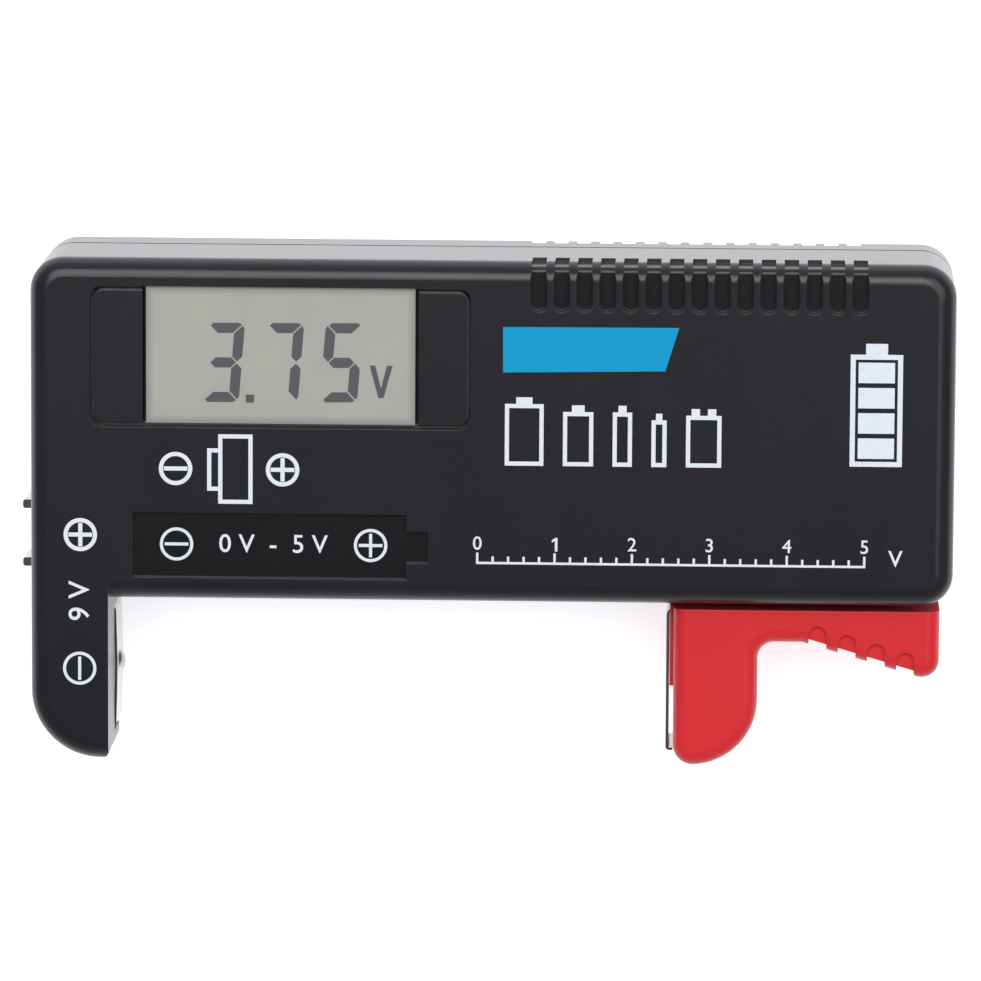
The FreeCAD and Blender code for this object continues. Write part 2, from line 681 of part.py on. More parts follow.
def make_display_bezel():
    """A tray with a blank ear each side of the display, held behind the front wall by its flange."""
    flange = rounded_plate(DISPLAY_X, DISPLAY_Y, DISPLAY_LENGTH + 2 * BEZEL_FLANGE_LIP,
                           DISPLAY_HEIGHT + 2 * BEZEL_FLANGE_LIP, DISPLAY_CORNER_RADIUS + BEZEL_FLANGE_LIP,
                           BEZEL_REAR, FRONT_INNER)
    ears = rounded_plate(DISPLAY_X, DISPLAY_Y, DISPLAY_LENGTH - 2 * BEZEL_GAP,
                         DISPLAY_HEIGHT - 2 * BEZEL_GAP, DISPLAY_CORNER_RADIUS - BEZEL_GAP,
                         FRONT_INNER, CASE_DEPTH - BEZEL_SETBACK)
    ears = ears.makeFillet(BEZEL_EDGE_RADIUS, edges_at_level(ears, CASE_DEPTH - BEZEL_SETBACK))
    half = LCD_LENGTH / 2 + LCD_SIDE_GAP
    reach = DISPLAY_HEIGHT / 2
    pocket = box(DISPLAY_X - half, DISPLAY_X + half, DISPLAY_Y - reach, DISPLAY_Y + reach,
                 LCD_REAR, CASE_DEPTH)
    view = LCD_LENGTH / 2 - LCD_LEDGE
    tall = ZEBRA_OUTER + ZEBRA_GAP
    window = box(DISPLAY_X - view, DISPLAY_X + view, LCD_Y - tall, LCD_Y + tall,
                 BEZEL_REAR, LCD_REAR)
    return flange.fuse(ears).cut([pocket, window]).removeSplitter()


def display_plate(height, z0, z1):
    half = LCD_LENGTH / 2
    return box(DISPLAY_X - half, DISPLAY_X + half, LCD_Y - height / 2, LCD_Y + height / 2, z0, z1)


def make_lcd_front_glass():
    return display_plate(LCD_HEIGHT, LCD_GLASS_JOINT, LCD_FRONT)


def make_lcd_rear_glass():
    return display_plate(LCD_HEIGHT, LCD_GLASS_REAR, LCD_GLASS_JOINT)


def make_lcd_reflector():
    """The reflector leaves the glass's two contact edges bare."""
    return display_plate(2 * (ZEBRA_INNER - ZEBRA_GAP), LCD_REAR, LCD_GLASS_REAR)


def make_zebra_strips():
    """Two rubber strips that join the glass's contact edges to the board."""
    half = ZEBRA_LENGTH / 2
    middle = (ZEBRA_INNER + ZEBRA_OUTER) / 2
    strips = []
    for y in (LCD_Y - middle, LCD_Y + middle):
        strips.append(box(DISPLAY_X - half, DISPLAY_X + half, y - ZEBRA_THICKNESS / 2, y + ZEBRA_THICKNESS / 2,
                          BOARD_FRONT, LCD_GLASS_REAR))
    return Part.makeCompound(strips)


# Circuit board

def make_main_board():
    board = box(BOARD_LEFT, BOARD_RIGHT, BOARD_BOTTOM, BOARD_TOP, BOARD_REAR, BOARD_FRONT)
    return board.cut([post(x, y, BOARD_HOLE_RADIUS, BOARD_REAR, BOARD_FRONT) for x, y in BOARD_SCREW_PLACES])


def make_board_screws():
    screws = []
    for x, y in BOARD_SCREW_PLACES:
        screws.append(screw(x, y, BOARD_SCREW_HEAD_RADIUS, BOARD_SCREW_HEAD_HEIGHT, BOARD_SCREW_RADIUS,
                            BOARD_REAR, BOARD_FRONT + BOARD_SCREW_BITE))
    return Part.makeCompound(screws)


def make_voltmeter_chip():
    """A bare chip under a low dome of resin."""
    curve = (CHIP_RADIUS ** 2 + CHIP_HEIGHT ** 2) / (2 * CHIP_HEIGHT)
    ball = Part.makeSphere(curve, Vector(CHIP_X, CHIP_Y, BOARD_REAR - CHIP_HEIGHT + curve))
    return ball.common(post(CHIP_X, CHIP_Y, 2 * CHIP_RADIUS, BOARD_REAR - 2 * CHIP_HEIGHT, BOARD_REAR))


def make_boost_coil():
    """A drum coil: two flanges and the wound waist between them."""
    low = BOARD_REAR - COIL_HEIGHT
    drum = post(COIL_X, COIL_Y, COIL_RADIUS, low, BOARD_REAR)
    ring = post(COIL_X, COIL_Y, COIL_RADIUS, low + COIL_FLANGE, BOARD_REAR - COIL_FLANGE)
    waist = post(COIL_X, COIL_Y, COIL_RADIUS - COIL_WAIST, low, BOARD_REAR)
    return drum.cut(ring.cut(waist))


def make_load_resistor():
    """An axial resistor, its two leads bent to the board."""
    level = BOARD_REAR - RESISTOR_LIFT - RESISTOR_RADIUS
    half = RESISTOR_LEAD_SPAN / 2
    body = Part.makeCylinder(RESISTOR_RADIUS, RESISTOR_LENGTH,
                             Vector(RESISTOR_X - RESISTOR_LENGTH / 2, RESISTOR_Y, level), Vector(1, 0, 0))
    rims = [edge for edge in body.Edges if edge.BoundBox.XLength < 1e-3]
    body = body.makeChamfer(RESISTOR_RADIUS / 3, rims)
    leads = [Part.makeCylinder(RESISTOR_LEAD_RADIUS, RESISTOR_LEAD_SPAN,
                               Vector(RESISTOR_X - half, RESISTOR_Y, level), Vector(1, 0, 0))]
    for x in (RESISTOR_X - half, RESISTOR_X + half):
        leads.append(post(x, RESISTOR_Y, RESISTOR_LEAD_RADIUS, level, BOARD_REAR))
        leads.append(Part.makeSphere(RESISTOR_LEAD_RADIUS, Vector(x, RESISTOR_Y, level)))
    return body.fuse(leads)


def make_chip_components():
    parts = []
    x = BOARD_LEFT + CHIP_PART_ACROSS
    for index in range(CHIP_PART_COUNT):
        y = BOARD_BOTTOM + CHIP_PART_UP + index * CHIP_PART_PITCH
        parts.append(box(x - CHIP_PART_LENGTH / 2, x + CHIP_PART_LENGTH / 2,
                         y - CHIP_PART_WIDTH / 2, y + CHIP_PART_WIDTH / 2,
                         BOARD_REAR - CHIP_PART_HEIGHT, BOARD_REAR))
    return Part.makeCompound(parts)


# Contacts

def nine_volt_bar(y):
    """A strip folded flat, its blunt nose standing out of the left wall."""
    nose = LEFT - BAR_PROUD
    half = BAR_THICKNESS / 2
    corners = [
        (nose, y - half, BAR_NOSE_RADIUS),
        (BAR_INNER_END, y - half, 0),
        (BAR_INNER_END, y + half, 0),
        (nose, y + half, BAR_NOSE_RADIUS),
    ]
    return prism(rounded_wire(corners, PARTING_LEVEL), BAR_LENGTH)


def make_nine_volt_positive_contact():
    return nine_volt_bar(BAR_PLACES[0])


def make_nine_volt_negative_contact():
    return nine_volt_bar(BAR_PLACES[1])


def make_negative_contact():
    """A strip bowed off the leg's inner face, with a dimple, its ends tucked through the wall."""
    x = LEG_STRIP_X
    middle = (LEG_STRIP_TOP + LEG_STRIP_BOTTOM) / 2
    crest = x + LEG_STRIP_BOW
    points = [
        (LEG_STRIP_END, LEG_STRIP_BOTTOM, 0),
        (x, LEG_STRIP_BOTTOM, STRIP_BEND),
        (crest, middle, LEG_STRIP_BOW_RADIUS),
        (x, LEG_STRIP_TOP, STRIP_BEND),
        (LEG_STRIP_END, LEG_STRIP_TOP, 0),
    ]
    strip = sheet_strip(points, STRIP_SHEET, LEG_STRIP_REAR, LEG_STRIP_FRONT)
    curve = (DIMPLE_RADIUS ** 2 + DIMPLE_HEIGHT ** 2) / (2 * DIMPLE_HEIGHT)
    ball = Part.makeSphere(curve, Vector(crest + DIMPLE_HEIGHT - curve, middle, LEG_STRIP_MID_LEVEL))
    keep = box(crest, crest + curve, middle - curve, middle + curve,
               LEG_STRIP_MID_LEVEL - curve, LEG_STRIP_MID_LEVEL + curve)
    return strip.fuse(ball.common(keep)).removeSplitter()


def make_positive_contact():
    """A leaf that hangs in front of the arm's blade, its top end tucked into the arm."""
    points = [
        (ARM_LEFT + ARM_STRIP_TAIL, ARM_STRIP_TOP, 0),
        (ARM_STRIP_X, ARM_STRIP_TOP, STRIP_BEND),
        (ARM_STRIP_X, ARM_STRIP_BOTTOM, STRIP_BEND / 2),
        (ARM_STRIP_X + ARM_STRIP_HOOK, ARM_STRIP_BOTTOM, 0),
    ]
    return sheet_strip(points, STRIP_SHEET, STRIP_REAR, STRIP_FRONT)


def make_slider_wiper():
    """A bent strip from beside the leaf's tail, up through the neck, to the underside of the rail."""
    tip_y = RAIL_UNDERSIDE - RAIL_TOUCH_GAP - WIPER_SHEET / 2
    points = [
        (ARM_LEFT + WIPER_TAB_START, WIPER_TAB_Y, 0),
        (WIPER_X, WIPER_TAB_Y, WIPER_SHEET),
        (WIPER_X, tip_y, WIPER_SHEET),
        (WIPER_X + WIPER_TIP, tip_y, 0),
    ]
    return sheet_strip(points, WIPER_SHEET, NECK_MID - WIPER_WIDTH / 2, NECK_MID + WIPER_WIDTH / 2)


def make_contact_rail():
    return box(RAIL_LEFT, RAIL_RIGHT, RAIL_UNDERSIDE, RAIL_TOP, RAIL_REAR, RAIL_FRONT)


# Sliding arm

def ramp_y(x):
    """The height of the finger grip's lower edge at x."""
    return ARM_BAR_BOTTOM - RAMP_SLOPE * (x - ARM_LEFT - RAMP_START)


def arm_wire(level):
    """The arm's side profile: a blade with a round toe, a bar and a sloping finger grip."""
    top_left = Vector(ARM_LEFT, ARM_TOP, level)
    top_right = Vector(ARM_END, ARM_TOP, level)
    toe = Vector(ARM_LEFT + ARM_TOE_RADIUS, ARM_BOTTOM + ARM_TOE_RADIUS, level)
    toe_end = Vector(ARM_LEFT, toe.y, level)
    heel_start = Vector(ARM_BACK, ARM_TOP - ARM_BACK_LENGTH, level)
    across = ARM_WIDTH - ARM_TOE_RADIUS
    rise = heel_start.y - toe.y
    heel_radius = (across ** 2 + rise ** 2 - ARM_TOE_RADIUS ** 2) / (2 * (across - ARM_TOE_RADIUS))
    heel = heel_start - Vector(heel_radius, 0, 0)
    joint = heel + Vector(toe - heel).normalize() * heel_radius
    heel_middle = heel + Vector(heel_start + joint - heel * 2).normalize() * heel_radius
    toe_middle = toe + Vector(joint + toe_end - toe * 2).normalize() * ARM_TOE_RADIUS
    ramp_start = Vector(ARM_LEFT + RAMP_START, ARM_BAR_BOTTOM, level)
    ramp_end = Vector(ARM_END, ramp_y(ARM_END), level)
    armpit = corner_arc(heel_start, Vector(ARM_BACK, ARM_BAR_BOTTOM, level), ramp_start, ARM_INNER_RADIUS)
    finger_end = corner_arc(ramp_start, ramp_end, top_right, ARM_END_RADIUS)
    return Part.Wire([
        line(top_left, toe_end),
        arc(toe_end, toe_middle, joint),
        arc(joint, heel_middle, heel_start),
        line(heel_start, armpit[0]),
        arc(*armpit),
        line(armpit[2], ramp_start),
        line(ramp_start, finger_end[0]),
        arc(*finger_end),
        line(finger_end[2], top_right),
        line(top_right, top_left),
    ])


def flutes():
    """The grooves of the finger grip: across the lower edge and up both faces, round at the top."""
    cuts = []
    half = FLUTE_WIDTH / 2
    for index in range(FLUTE_COUNT):
        x = ARM_LEFT + FLUTE_FIRST + index * FLUTE_PITCH
        corners = [
            Vector(x - half, ramp_y(x - half) + FLUTE_DEPTH, ARM_REAR_LEVEL),
            Vector(x + half, ramp_y(x + half) + FLUTE_DEPTH, ARM_REAR_LEVEL),
            Vector(x + half, ramp_y(x + half) - FLUTE_REACH, ARM_REAR_LEVEL),
            Vector(x - half, ramp_y(x - half) - FLUTE_REACH, ARM_REAR_LEVEL),
        ]
        across = Part.Face(Part.makePolygon(corners + corners[:1]))
        cuts.append(across.extrude(Vector(0, 0, ARM_FRONT_LEVEL - ARM_REAR_LEVEL)))
        arch = ramp_y(x) + FLUTE_REACH - half
        for z in (ARM_REAR_LEVEL, ARM_FRONT_LEVEL - FLUTE_DEPTH):
            straight = box(x - half, x + half, ramp_y(x) - FLUTE_REACH, arch, z, z + FLUTE_DEPTH)
            cuts.append(straight.fuse(post(x, arch, half, z, z + FLUTE_DEPTH)))
    return cuts


def arm_slots():
    """The slots in the arm for the leaf's tail and for the wiper."""
    reach = STRIP_SHEET / 2 + STRIP_SLOT_GAP
    tail = box(ARM_LEFT - ARM_PAD_PROUD, ARM_LEFT + ARM_STRIP_TAIL + STRIP_SLOT_GAP,
               ARM_STRIP_TOP - reach, ARM_STRIP_TOP + reach,
               STRIP_REAR - STRIP_SLOT_GAP, STRIP_FRONT + STRIP_SLOT_GAP)
    side = WIPER_SHEET / 2 + WIPER_SLOT_GAP
    z0 = NECK_MID - WIPER_WIDTH / 2 - WIPER_SLOT_GAP
    z1 = NECK_MID + WIPER_WIDTH / 2 + WIPER_SLOT_GAP
    tab = box(ARM_LEFT + WIPER_TAB_START - WIPER_SLOT_GAP, WIPER_X + side,
              WIPER_TAB_Y - side, WIPER_TAB_Y + side, z0, z1)
    riser = box(WIPER_X - side, WIPER_X + side, WIPER_TAB_Y - side, FOOT_TOP, z0, z1)
    return [tail, tab, riser]


def make_sliding_arm():
    arm = prism(arm_wire(ARM_REAR_LEVEL), ARM_FRONT_LEVEL - ARM_REAR_LEVEL)
    rims = edges_at_level(arm, ARM_REAR_LEVEL) + edges_at_level(arm, ARM_FRONT_LEVEL)
    rounded = [edge for edge in rims if edge.BoundBox.YMin < ARM_TOP - ARM_EDGE_RADIUS]
    arm = arm.makeFillet(ARM_EDGE_RADIUS, rounded)
    pad = box(ARM_LEFT - ARM_PAD_PROUD, ARM_LEFT + ARM_PAD_PROUD, ARM_TOP - ARM_PAD_LENGTH, ARM_TOP,
              STRIP_REAR - ARM_PAD_MARGIN, STRIP_FRONT + ARM_PAD_MARGIN)
    neck = box(NECK_LEFT, NECK_RIGHT, ARM_TOP - ARM_GAP, FOOT_TOP, NECK_REAR, NECK_FRONT)
    foot = box(NECK_LEFT, NECK_RIGHT, FOOT_BOTTOM, FOOT_TOP,
               NECK_REAR - FOOT_REAR_OVERHANG, NECK_FRONT + FOOT_FRONT_OVERHANG)
    return arm.fuse([pad, neck, foot]).cut(flutes() + arm_slots()).removeSplitter()


# Wires

def make_positive_wire():
    x = BOARD_SCREW_PLACES[1][0] - 2 * BOARD_BOSS_RADIUS
    return wire_run([
        Vector(x, RAIL_TOP + WIRE_TOUCH_GAP, NECK_MID),
        Vector(x, WIRE_PAD_Y, NECK_MID),
        Vector(x, WIRE_PAD_Y, BOARD_REAR - WIRE_TOUCH_GAP),
    ])


def make_negative_wire():
    """From the leg strip's tail, under the nine volt wires, to the board."""
    x = LEG_STRIP_END + WIRE_RADIUS
    pad_x = BOARD_LEFT + 5 * WIRE_PAD_INSET
    return wire_run([
        Vector(x, LEG_STRIP_TOP + STRIP_SHEET / 2 + WIRE_TOUCH_GAP, LEG_WIRE_LEVEL),
        Vector(x, BOTTOM + WALL + WIRE_BEND, LEG_WIRE_LEVEL),
        Vector(pad_x, WIRE_PAD_Y, LEG_WIRE_LEVEL),
        Vector(pad_x, WIRE_PAD_Y, BOARD_REAR - WIRE_TOUCH_GAP),
    ])


def nine_volt_wire(y, pad_x):
    """From a bar's inner end to the board."""
    return wire_run([
        Vector(BAR_INNER_END + WIRE_TOUCH_GAP, y, BAR_WIRE_LEVEL),
        Vector(BAR_WIRE_TURN, y, BAR_WIRE_LEVEL),
        Vector(pad_x, WIRE_PAD_Y, BAR_WIRE_LEVEL),
        Vector(pad_x, WIRE_PAD_Y, BOARD_REAR - WIRE_TOUCH_GAP),
    ])


def make_nine_volt_positive_wire():
    return nine_volt_wire(BAR_PLACES[0], BOARD_LEFT + WIRE_PAD_INSET)


def make_nine_volt_negative_wire():
    return nine_volt_wire(BAR_PLACES[1], BOARD_LEFT + 3 * WIRE_PAD_INSET)


PIECES = {
    "front_shell": make_front_shell,
    "rear_shell": make_rear_shell,
    "case_screws": make_case_screws,
    "display_bezel": make_display_bezel,
    "lcd_front_glass": make_lcd_front_glass,
    "lcd_rear_glass": make_lcd_rear_glass,
    "lcd_reflector": make_lcd_reflector,
    "zebra_strips": make_zebra_strips,
    "main_board": make_main_board,
    "board_screws": make_board_screws,
    "voltmeter_chip": make_voltmeter_chip,
    "boost_coil": make_boost_coil,
    "load_resistor": make_load_resistor,
    "chip_components": make_chip_components,
    "nine_volt_positive_contact": make_nine_volt_positive_contact,
    "nine_volt_negative_contact": make_nine_volt_negative_contact,
    "negative_contact": make_negative_contact,
    "positive_contact": make_positive_contact,
    "slider_wiper": make_slider_wiper,
    "contact_rail": make_contact_rail,
    "sliding_arm": make_sliding_arm,
    "positive_wire": make_positive_wire,
    "negative_wire": make_negative_wire,
    "nine_volt_positive_wire": make_nine_volt_positive_wire,
    "nine_volt_negative_wire": make_nine_volt_negative_wire,
}


if __name__ == "__main__":
    os.makedirs("parts", exist_ok=True)
    for name, make in PIECES.items():
        make().exportStep(f"parts/{name}.step")
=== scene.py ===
"""Looks of the battery tester: materials, display reading, printed marks, floor, light and camera."""
import json
import math

import bmesh
import bpy
from mathutils import Matrix, Vector

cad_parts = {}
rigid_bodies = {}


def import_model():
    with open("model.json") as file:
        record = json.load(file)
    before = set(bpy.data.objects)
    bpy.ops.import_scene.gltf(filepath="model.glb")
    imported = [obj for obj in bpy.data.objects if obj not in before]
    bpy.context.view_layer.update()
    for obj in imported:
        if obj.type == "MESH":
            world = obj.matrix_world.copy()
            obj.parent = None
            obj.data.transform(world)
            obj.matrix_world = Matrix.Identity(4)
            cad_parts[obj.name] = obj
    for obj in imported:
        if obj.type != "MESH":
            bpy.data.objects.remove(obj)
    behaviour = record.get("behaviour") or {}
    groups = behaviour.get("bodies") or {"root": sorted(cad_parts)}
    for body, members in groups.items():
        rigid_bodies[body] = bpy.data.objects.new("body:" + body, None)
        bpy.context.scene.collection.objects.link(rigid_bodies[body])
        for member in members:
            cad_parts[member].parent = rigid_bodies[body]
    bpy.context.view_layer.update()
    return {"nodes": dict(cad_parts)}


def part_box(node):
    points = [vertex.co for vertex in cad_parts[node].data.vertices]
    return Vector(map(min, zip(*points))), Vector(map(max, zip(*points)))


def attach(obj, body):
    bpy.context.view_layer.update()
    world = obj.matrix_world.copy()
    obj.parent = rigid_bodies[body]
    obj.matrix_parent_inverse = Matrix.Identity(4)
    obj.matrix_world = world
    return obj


for leftover in list(bpy.data.objects):
    bpy.data.objects.remove(leftover)

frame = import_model()
nodes = frame["nodes"]

# Lengths are in millimetres, in the part's own frame, and angles in degrees
MM = 0.001

# Camera, fitted to the photograph
CAMERA_TARGET = (-0.063, -6.82, 25.0)
CAMERA_DISTANCE = 900.0
CAMERA_YAW = 1.968
CAMERA_PITCH = 8.488
CAMERA_ROLL = 0.315
CAMERA_VIEW_ANGLE = 7.41

# Sunk places of the front face: levels, and rectangles that hold them
FACE_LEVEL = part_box("front_shell")[1].z / MM
SYMBOL_DEPTH = 0.7
SYMBOL_FLOOR_LEVEL = FACE_LEVEL - SYMBOL_DEPTH
SYMBOL_CORNERS = ((-43.0, -18.0), (-7.2, -9.6))
GROOVE_DEPTH = 1.1
GROOVE_FLOOR_LEVEL = FACE_LEVEL - GROOVE_DEPTH
GROOVE_CORNERS = ((4.4, 14.6), (44.8, 19.6))
OPENING_CORNERS = ((-47.8, 0.35), (-2.4, 17.25))
OPENING_GAP = 0.35

# Printed ink
INK_THICKNESS = 0.02
INK_SUNK = 0.004
INK_LINE = 0.5
FINE_LINE = 0.37
RING_RADIUS = 2.0
RING_STEPS = 48
SIGN_LENGTH = 2.82
TEXT_WEIGHT = 0.006
TEXT_CURVE_STEPS = 4

# Places of the printed marks
FRONT_MINUS = (-37.56, -4.57)
FRONT_PLUS = (-24.81, -4.6)
CELL_BODY = (-32.48, -8.75, -28.38, -0.4)
CELL_CAP_LEFT = -33.8
CELL_CAP_LOW = -7.2
CELL_CAP_HIGH = -2.1
SYMBOL_MINUS = (-37.5, -13.76)
SYMBOL_PLUS = (-14.34, -13.7)
SYMBOL_TEXT = (-25.97, -13.73)
SYMBOL_TEXT_SIZE = 3.1
LEG_PLUS = (-48.94, -12.65)
LEG_MINUS = (-49.05, -28.8)
LEG_TEXT = (-48.99, -20.67)
LEG_TEXT_SIZE = 3.5
STRIPE = [(1.36, 7.34), (20.57, 7.66), (22.2, 12.86), (1.31, 12.78)]

# Row of plain cell outlines
CELL_ROW_LEFT = 1.6
CELL_ROW_BOTTOM = -3.8
CELL_ROW_GAP = 2.3
CELL_ROW_SIZES = [(4.6, 7.4), (3.6, 6.5), (2.3, 6.5), (1.8, 5.6)]
CELL_NUB_SHARE = 0.42
CELL_NUB_HEIGHT = 0.8
BLOCK_SIZE = (4.2, 6.2)
BLOCK_NUB_WIDTH = 1.0
BLOCK_NUB_PLACES = (0.27, 0.73)

# Volt scale
SCALE_LEFT = -1.6
SCALE_LENGTH = 46.0
SCALE_BASE = -15.4
SCALE_VOLTS = 5
SCALE_PARTS = 5
SCALE_LINE = 0.28
SCALE_TICK = 1.1
SCALE_SMALL_TICK = 0.65
SCALE_TEXT_SIZE = 2.3
SCALE_TEXT_RISE = 2.15
SCALE_UNIT_SIZE = 2.76
SCALE_UNIT_RISE = 0.77
SCALE_UNIT_STEPS = 2

# Battery level gauge
GAUGE_CENTRE = (45.6, 3.2)
GAUGE_SIZE = (6.2, 13.4)
GAUGE_NUB = (2.6, 1.3)
GAUGE_BARS = 4
GAUGE_LINE = 0.6
GAUGE_MARGIN = 0.95
GAUGE_BAR_GAP = 0.57

# Display reading
GLASS_LOW, GLASS_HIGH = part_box("lcd_front_glass")
DIGIT_BOTTOM = 3.39
DIGIT_HEIGHT = 9.48
DIGIT_WIDTH = 4.46
DIGIT_SLANT = 0.079
READING_TILT = 0.0066
SEGMENT_WIDTH = 1.2
SEGMENT_GAP = 0.12
SEGMENT_LEFT_CUT = 0.5
SEGMENT_RIGHT_CUT = 0.35
SEGMENT_THICKNESS = 0.03
READING_LEFT = -34.54
READING_PITCH = 7.04
READING = "375"
POINT_CENTRE = (-28.74, 3.84)
POINT_SIDE = 0.96
UNIT_CENTRE = (-13.15, 6.0)
UNIT_SIZE = (2.72, 3.87)
UNIT_STROKE = 0.68

# The seven bars of a digit that each figure lights
LIT_BARS = {"3": "abgcd", "7": "abc", "5": "afgcd"}


def srgb(red, green, blue):
    """A colour as it is written on screen, 0 to 255, as Blender's linear values."""
    linear = []
    for value in (red, green, blue):
        share = value / 255
        linear.append(share / 12.92 if share <= 0.04045 else ((share + 0.055) / 1.055) ** 2.4)
    return (*linear, 1.0)


# Node helpers
class Nodes:
    """Short calls that add nodes to a tree."""

    def __init__(self, tree):
        self.tree = tree

    def add(self, kind, **settings):
        node = self.tree.nodes.new(kind)
        for key, value in settings.items():
            setattr(node, key, value)
        return node

    def link(self, source, target):
        self.tree.links.new(source, target)

    def spread(self, value, low, high, start=0.3, end=0.7):
        """Maps a value between start and end onto low to high."""
        node = self.add("ShaderNodeMapRange")
        node.inputs["From Min"].default_value = start
        node.inputs["From Max"].default_value = end
        node.inputs["To Min"].default_value = low
        node.inputs["To Max"].default_value = high
        self.link(value, node.inputs["Value"])
        return node.outputs["Result"]

    def math(self, operation, first, second):
        """One sum of two values; each is a number or a socket."""
        node = self.add("ShaderNodeMath", operation=operation)
        for socket, value in zip(node.inputs, (first, second)):
            if isinstance(value, float):
                socket.default_value = value
            else:
                self.link(value, socket)
        return node.outputs["Value"]

    def axes(self, vector):
        """A vector's x, y and z."""
        node = self.add("ShaderNodeSeparateXYZ")
        self.link(vector, node.inputs["Vector"])
        return node.outputs


class Surface(Nodes):
    """A material with one Principled shader."""

    def __init__(self, name, roughness, metallic=0.0, specular=0.5):
        self.material = bpy.data.materials.new(name)
        self.material.use_nodes = True
        super().__init__(self.material.node_tree)
        self.shader = self.tree.nodes["Principled BSDF"]
        self.shader.inputs["Roughness"].default_value = roughness
        self.shader.inputs["Metallic"].default_value = metallic
        self.shader.inputs["Specular IOR Level"].default_value = specular
        self.place = self.add("ShaderNodeTexCoord").outputs["Object"]

    def noise(self, size, detail=3.0, stretch=(1, 1, 1)):
        """Noise whose grain is about size millimetres wide."""
        mapping = self.add("ShaderNodeMapping")
        mapping.inputs["Scale"].default_value = stretch
        self.link(self.place, mapping.inputs["Vector"])
        node = self.add("ShaderNodeTexNoise")
        node.inputs["Scale"].default_value = 1 / (size * MM)
        node.inputs["Detail"].default_value = detail
        self.link(mapping.outputs["Vector"], node.inputs["Vector"])
        return node.outputs["Fac"]

    def mix(self, factor, first, second):
        """A colour between first and second; each is a colour or a socket."""
        node = self.add("ShaderNodeMix", data_type="RGBA")
        self.link(factor, node.inputs["Factor"])
        for socket, colour in ((node.inputs[6], first), (node.inputs[7], second)):
            if isinstance(colour, tuple):
                socket.default_value = colour
            else:
                self.link(colour, socket)
        return node.outputs[2]

    def rounded(self, radius):
        """The normal as it is where sharp edges have this radius."""
        node = self.add("ShaderNodeBevel", samples=EDGE_SAMPLES)
        node.inputs["Radius"].default_value = radius * MM
        return node.outputs["Normal"]

    def edges(self, normal):
        """Near 1 where a rounded normal leaves the face's own, 0 on flat faces."""
        turn = self.add("ShaderNodeVectorMath", operation="DOT_PRODUCT")
        self.link(normal, turn.inputs[0])
        self.link(self.add("ShaderNodeNewGeometry").outputs["Normal"], turn.inputs[1])
        return self.spread(turn.outputs["Value"], 1.0, 0.0, 0.8, 0.995)

    def inside(self, low, high):
        """1 inside a box given in millimetres, 0 outside it."""
        total = None
        for value, least, most in zip(self.axes(self.place), low, high):
            held = self.math("MULTIPLY", self.math("GREATER_THAN", value, least * MM),
                             self.math("LESS_THAN", value, most * MM))
            total = held if total is None else self.math("MULTIPLY", total, held)
        return total

    def colour(self, value):
        self.link(value, self.shader.inputs["Base Color"])

    def rough(self, value):
        self.link(value, self.shader.inputs["Roughness"])

    def bump(self, height, depth, normal=None):
        """Relief of about depth millimetres, over a rounded normal if one is given."""
        node = self.add("ShaderNodeBump")
        node.inputs["Distance"].default_value = depth * MM
        self.link(height, node.inputs["Height"])
        if normal:
            self.link(normal, node.inputs["Normal"])
        self.link(node.outputs["Normal"], self.shader.inputs["Normal"])


# Materials
EDGE_SAMPLES = 8
EDGE_SOFTNESS = 0.12
ARM_EDGE_SOFTNESS = 0.25
RUB_SIZE = 1.6
FLOW_SIZE = 9.0
FLOW_STRETCH = (1, 0.35, 1)
CASE_COLOUR = srgb(39, 38, 43)
CASE_SPECULAR = 0.36
CASE_MOTTLE = 0.14
# Share of the case colour on the floors of the sunk symbol and grooves: painted shade
SUNK_PAINTED_SHADE_SHARE = 0.5
# Lighter grey on the walls of the gap round the display opening: painted light in the gap's shade
GAP_PAINTED_LIGHT = srgb(92, 91, 95)
GAP_DEPTHS = (3.0, 0.3)
TINT_REACH = 0.1
GROOVE_TINT_RISE = 0.3
FILM_RIM = (0.05, 1.0)


def shade(colour, share):
    """A colour at a share of its brightness."""
    return tuple(channel * share for channel in colour[:3]) + (1.0,)


def slab(corners, low, high, grow=0.0):
    """The two corners of a box over a rectangle, grown sideways."""
    (left, front), (right, back) = corners
    return (left - grow, front - grow, low), (right + grow, back + grow, high)


def painted_light_and_shade_boxes():
    """Boxes of the case in another tone, two corners and a colour each: painted shade on the floors of the
    sunk symbol and grooves, painted light in the gap round the display opening, and the case colour kept on
    the bezel inside it.
    """
    # Painted shade: the floors of the sunk symbol and grooves are darkened
    sunk = shade(CASE_COLOUR, SUNK_PAINTED_SHADE_SHARE)
    gap_low, gap_high = (FACE_LEVEL - depth for depth in GAP_DEPTHS)
    symbol_low, symbol_high = SYMBOL_FLOOR_LEVEL - TINT_REACH, SYMBOL_FLOOR_LEVEL + TINT_REACH
    groove_low, groove_high = GROOVE_FLOOR_LEVEL - TINT_REACH, GROOVE_FLOOR_LEVEL + GROOVE_TINT_RISE
    return [
        (*slab(SYMBOL_CORNERS, symbol_low, symbol_high), sunk),
        (*slab(GROOVE_CORNERS, groove_low, groove_high), sunk),
        # Painted light in the gap round the display opening; the box after it keeps the case colour on the
        # bezel inside
        (*slab(OPENING_CORNERS, gap_low, gap_high, TINT_REACH), GAP_PAINTED_LIGHT),
        (*slab(OPENING_CORNERS, gap_low, gap_high, -OPENING_GAP - TINT_REACH), CASE_COLOUR),
    ]


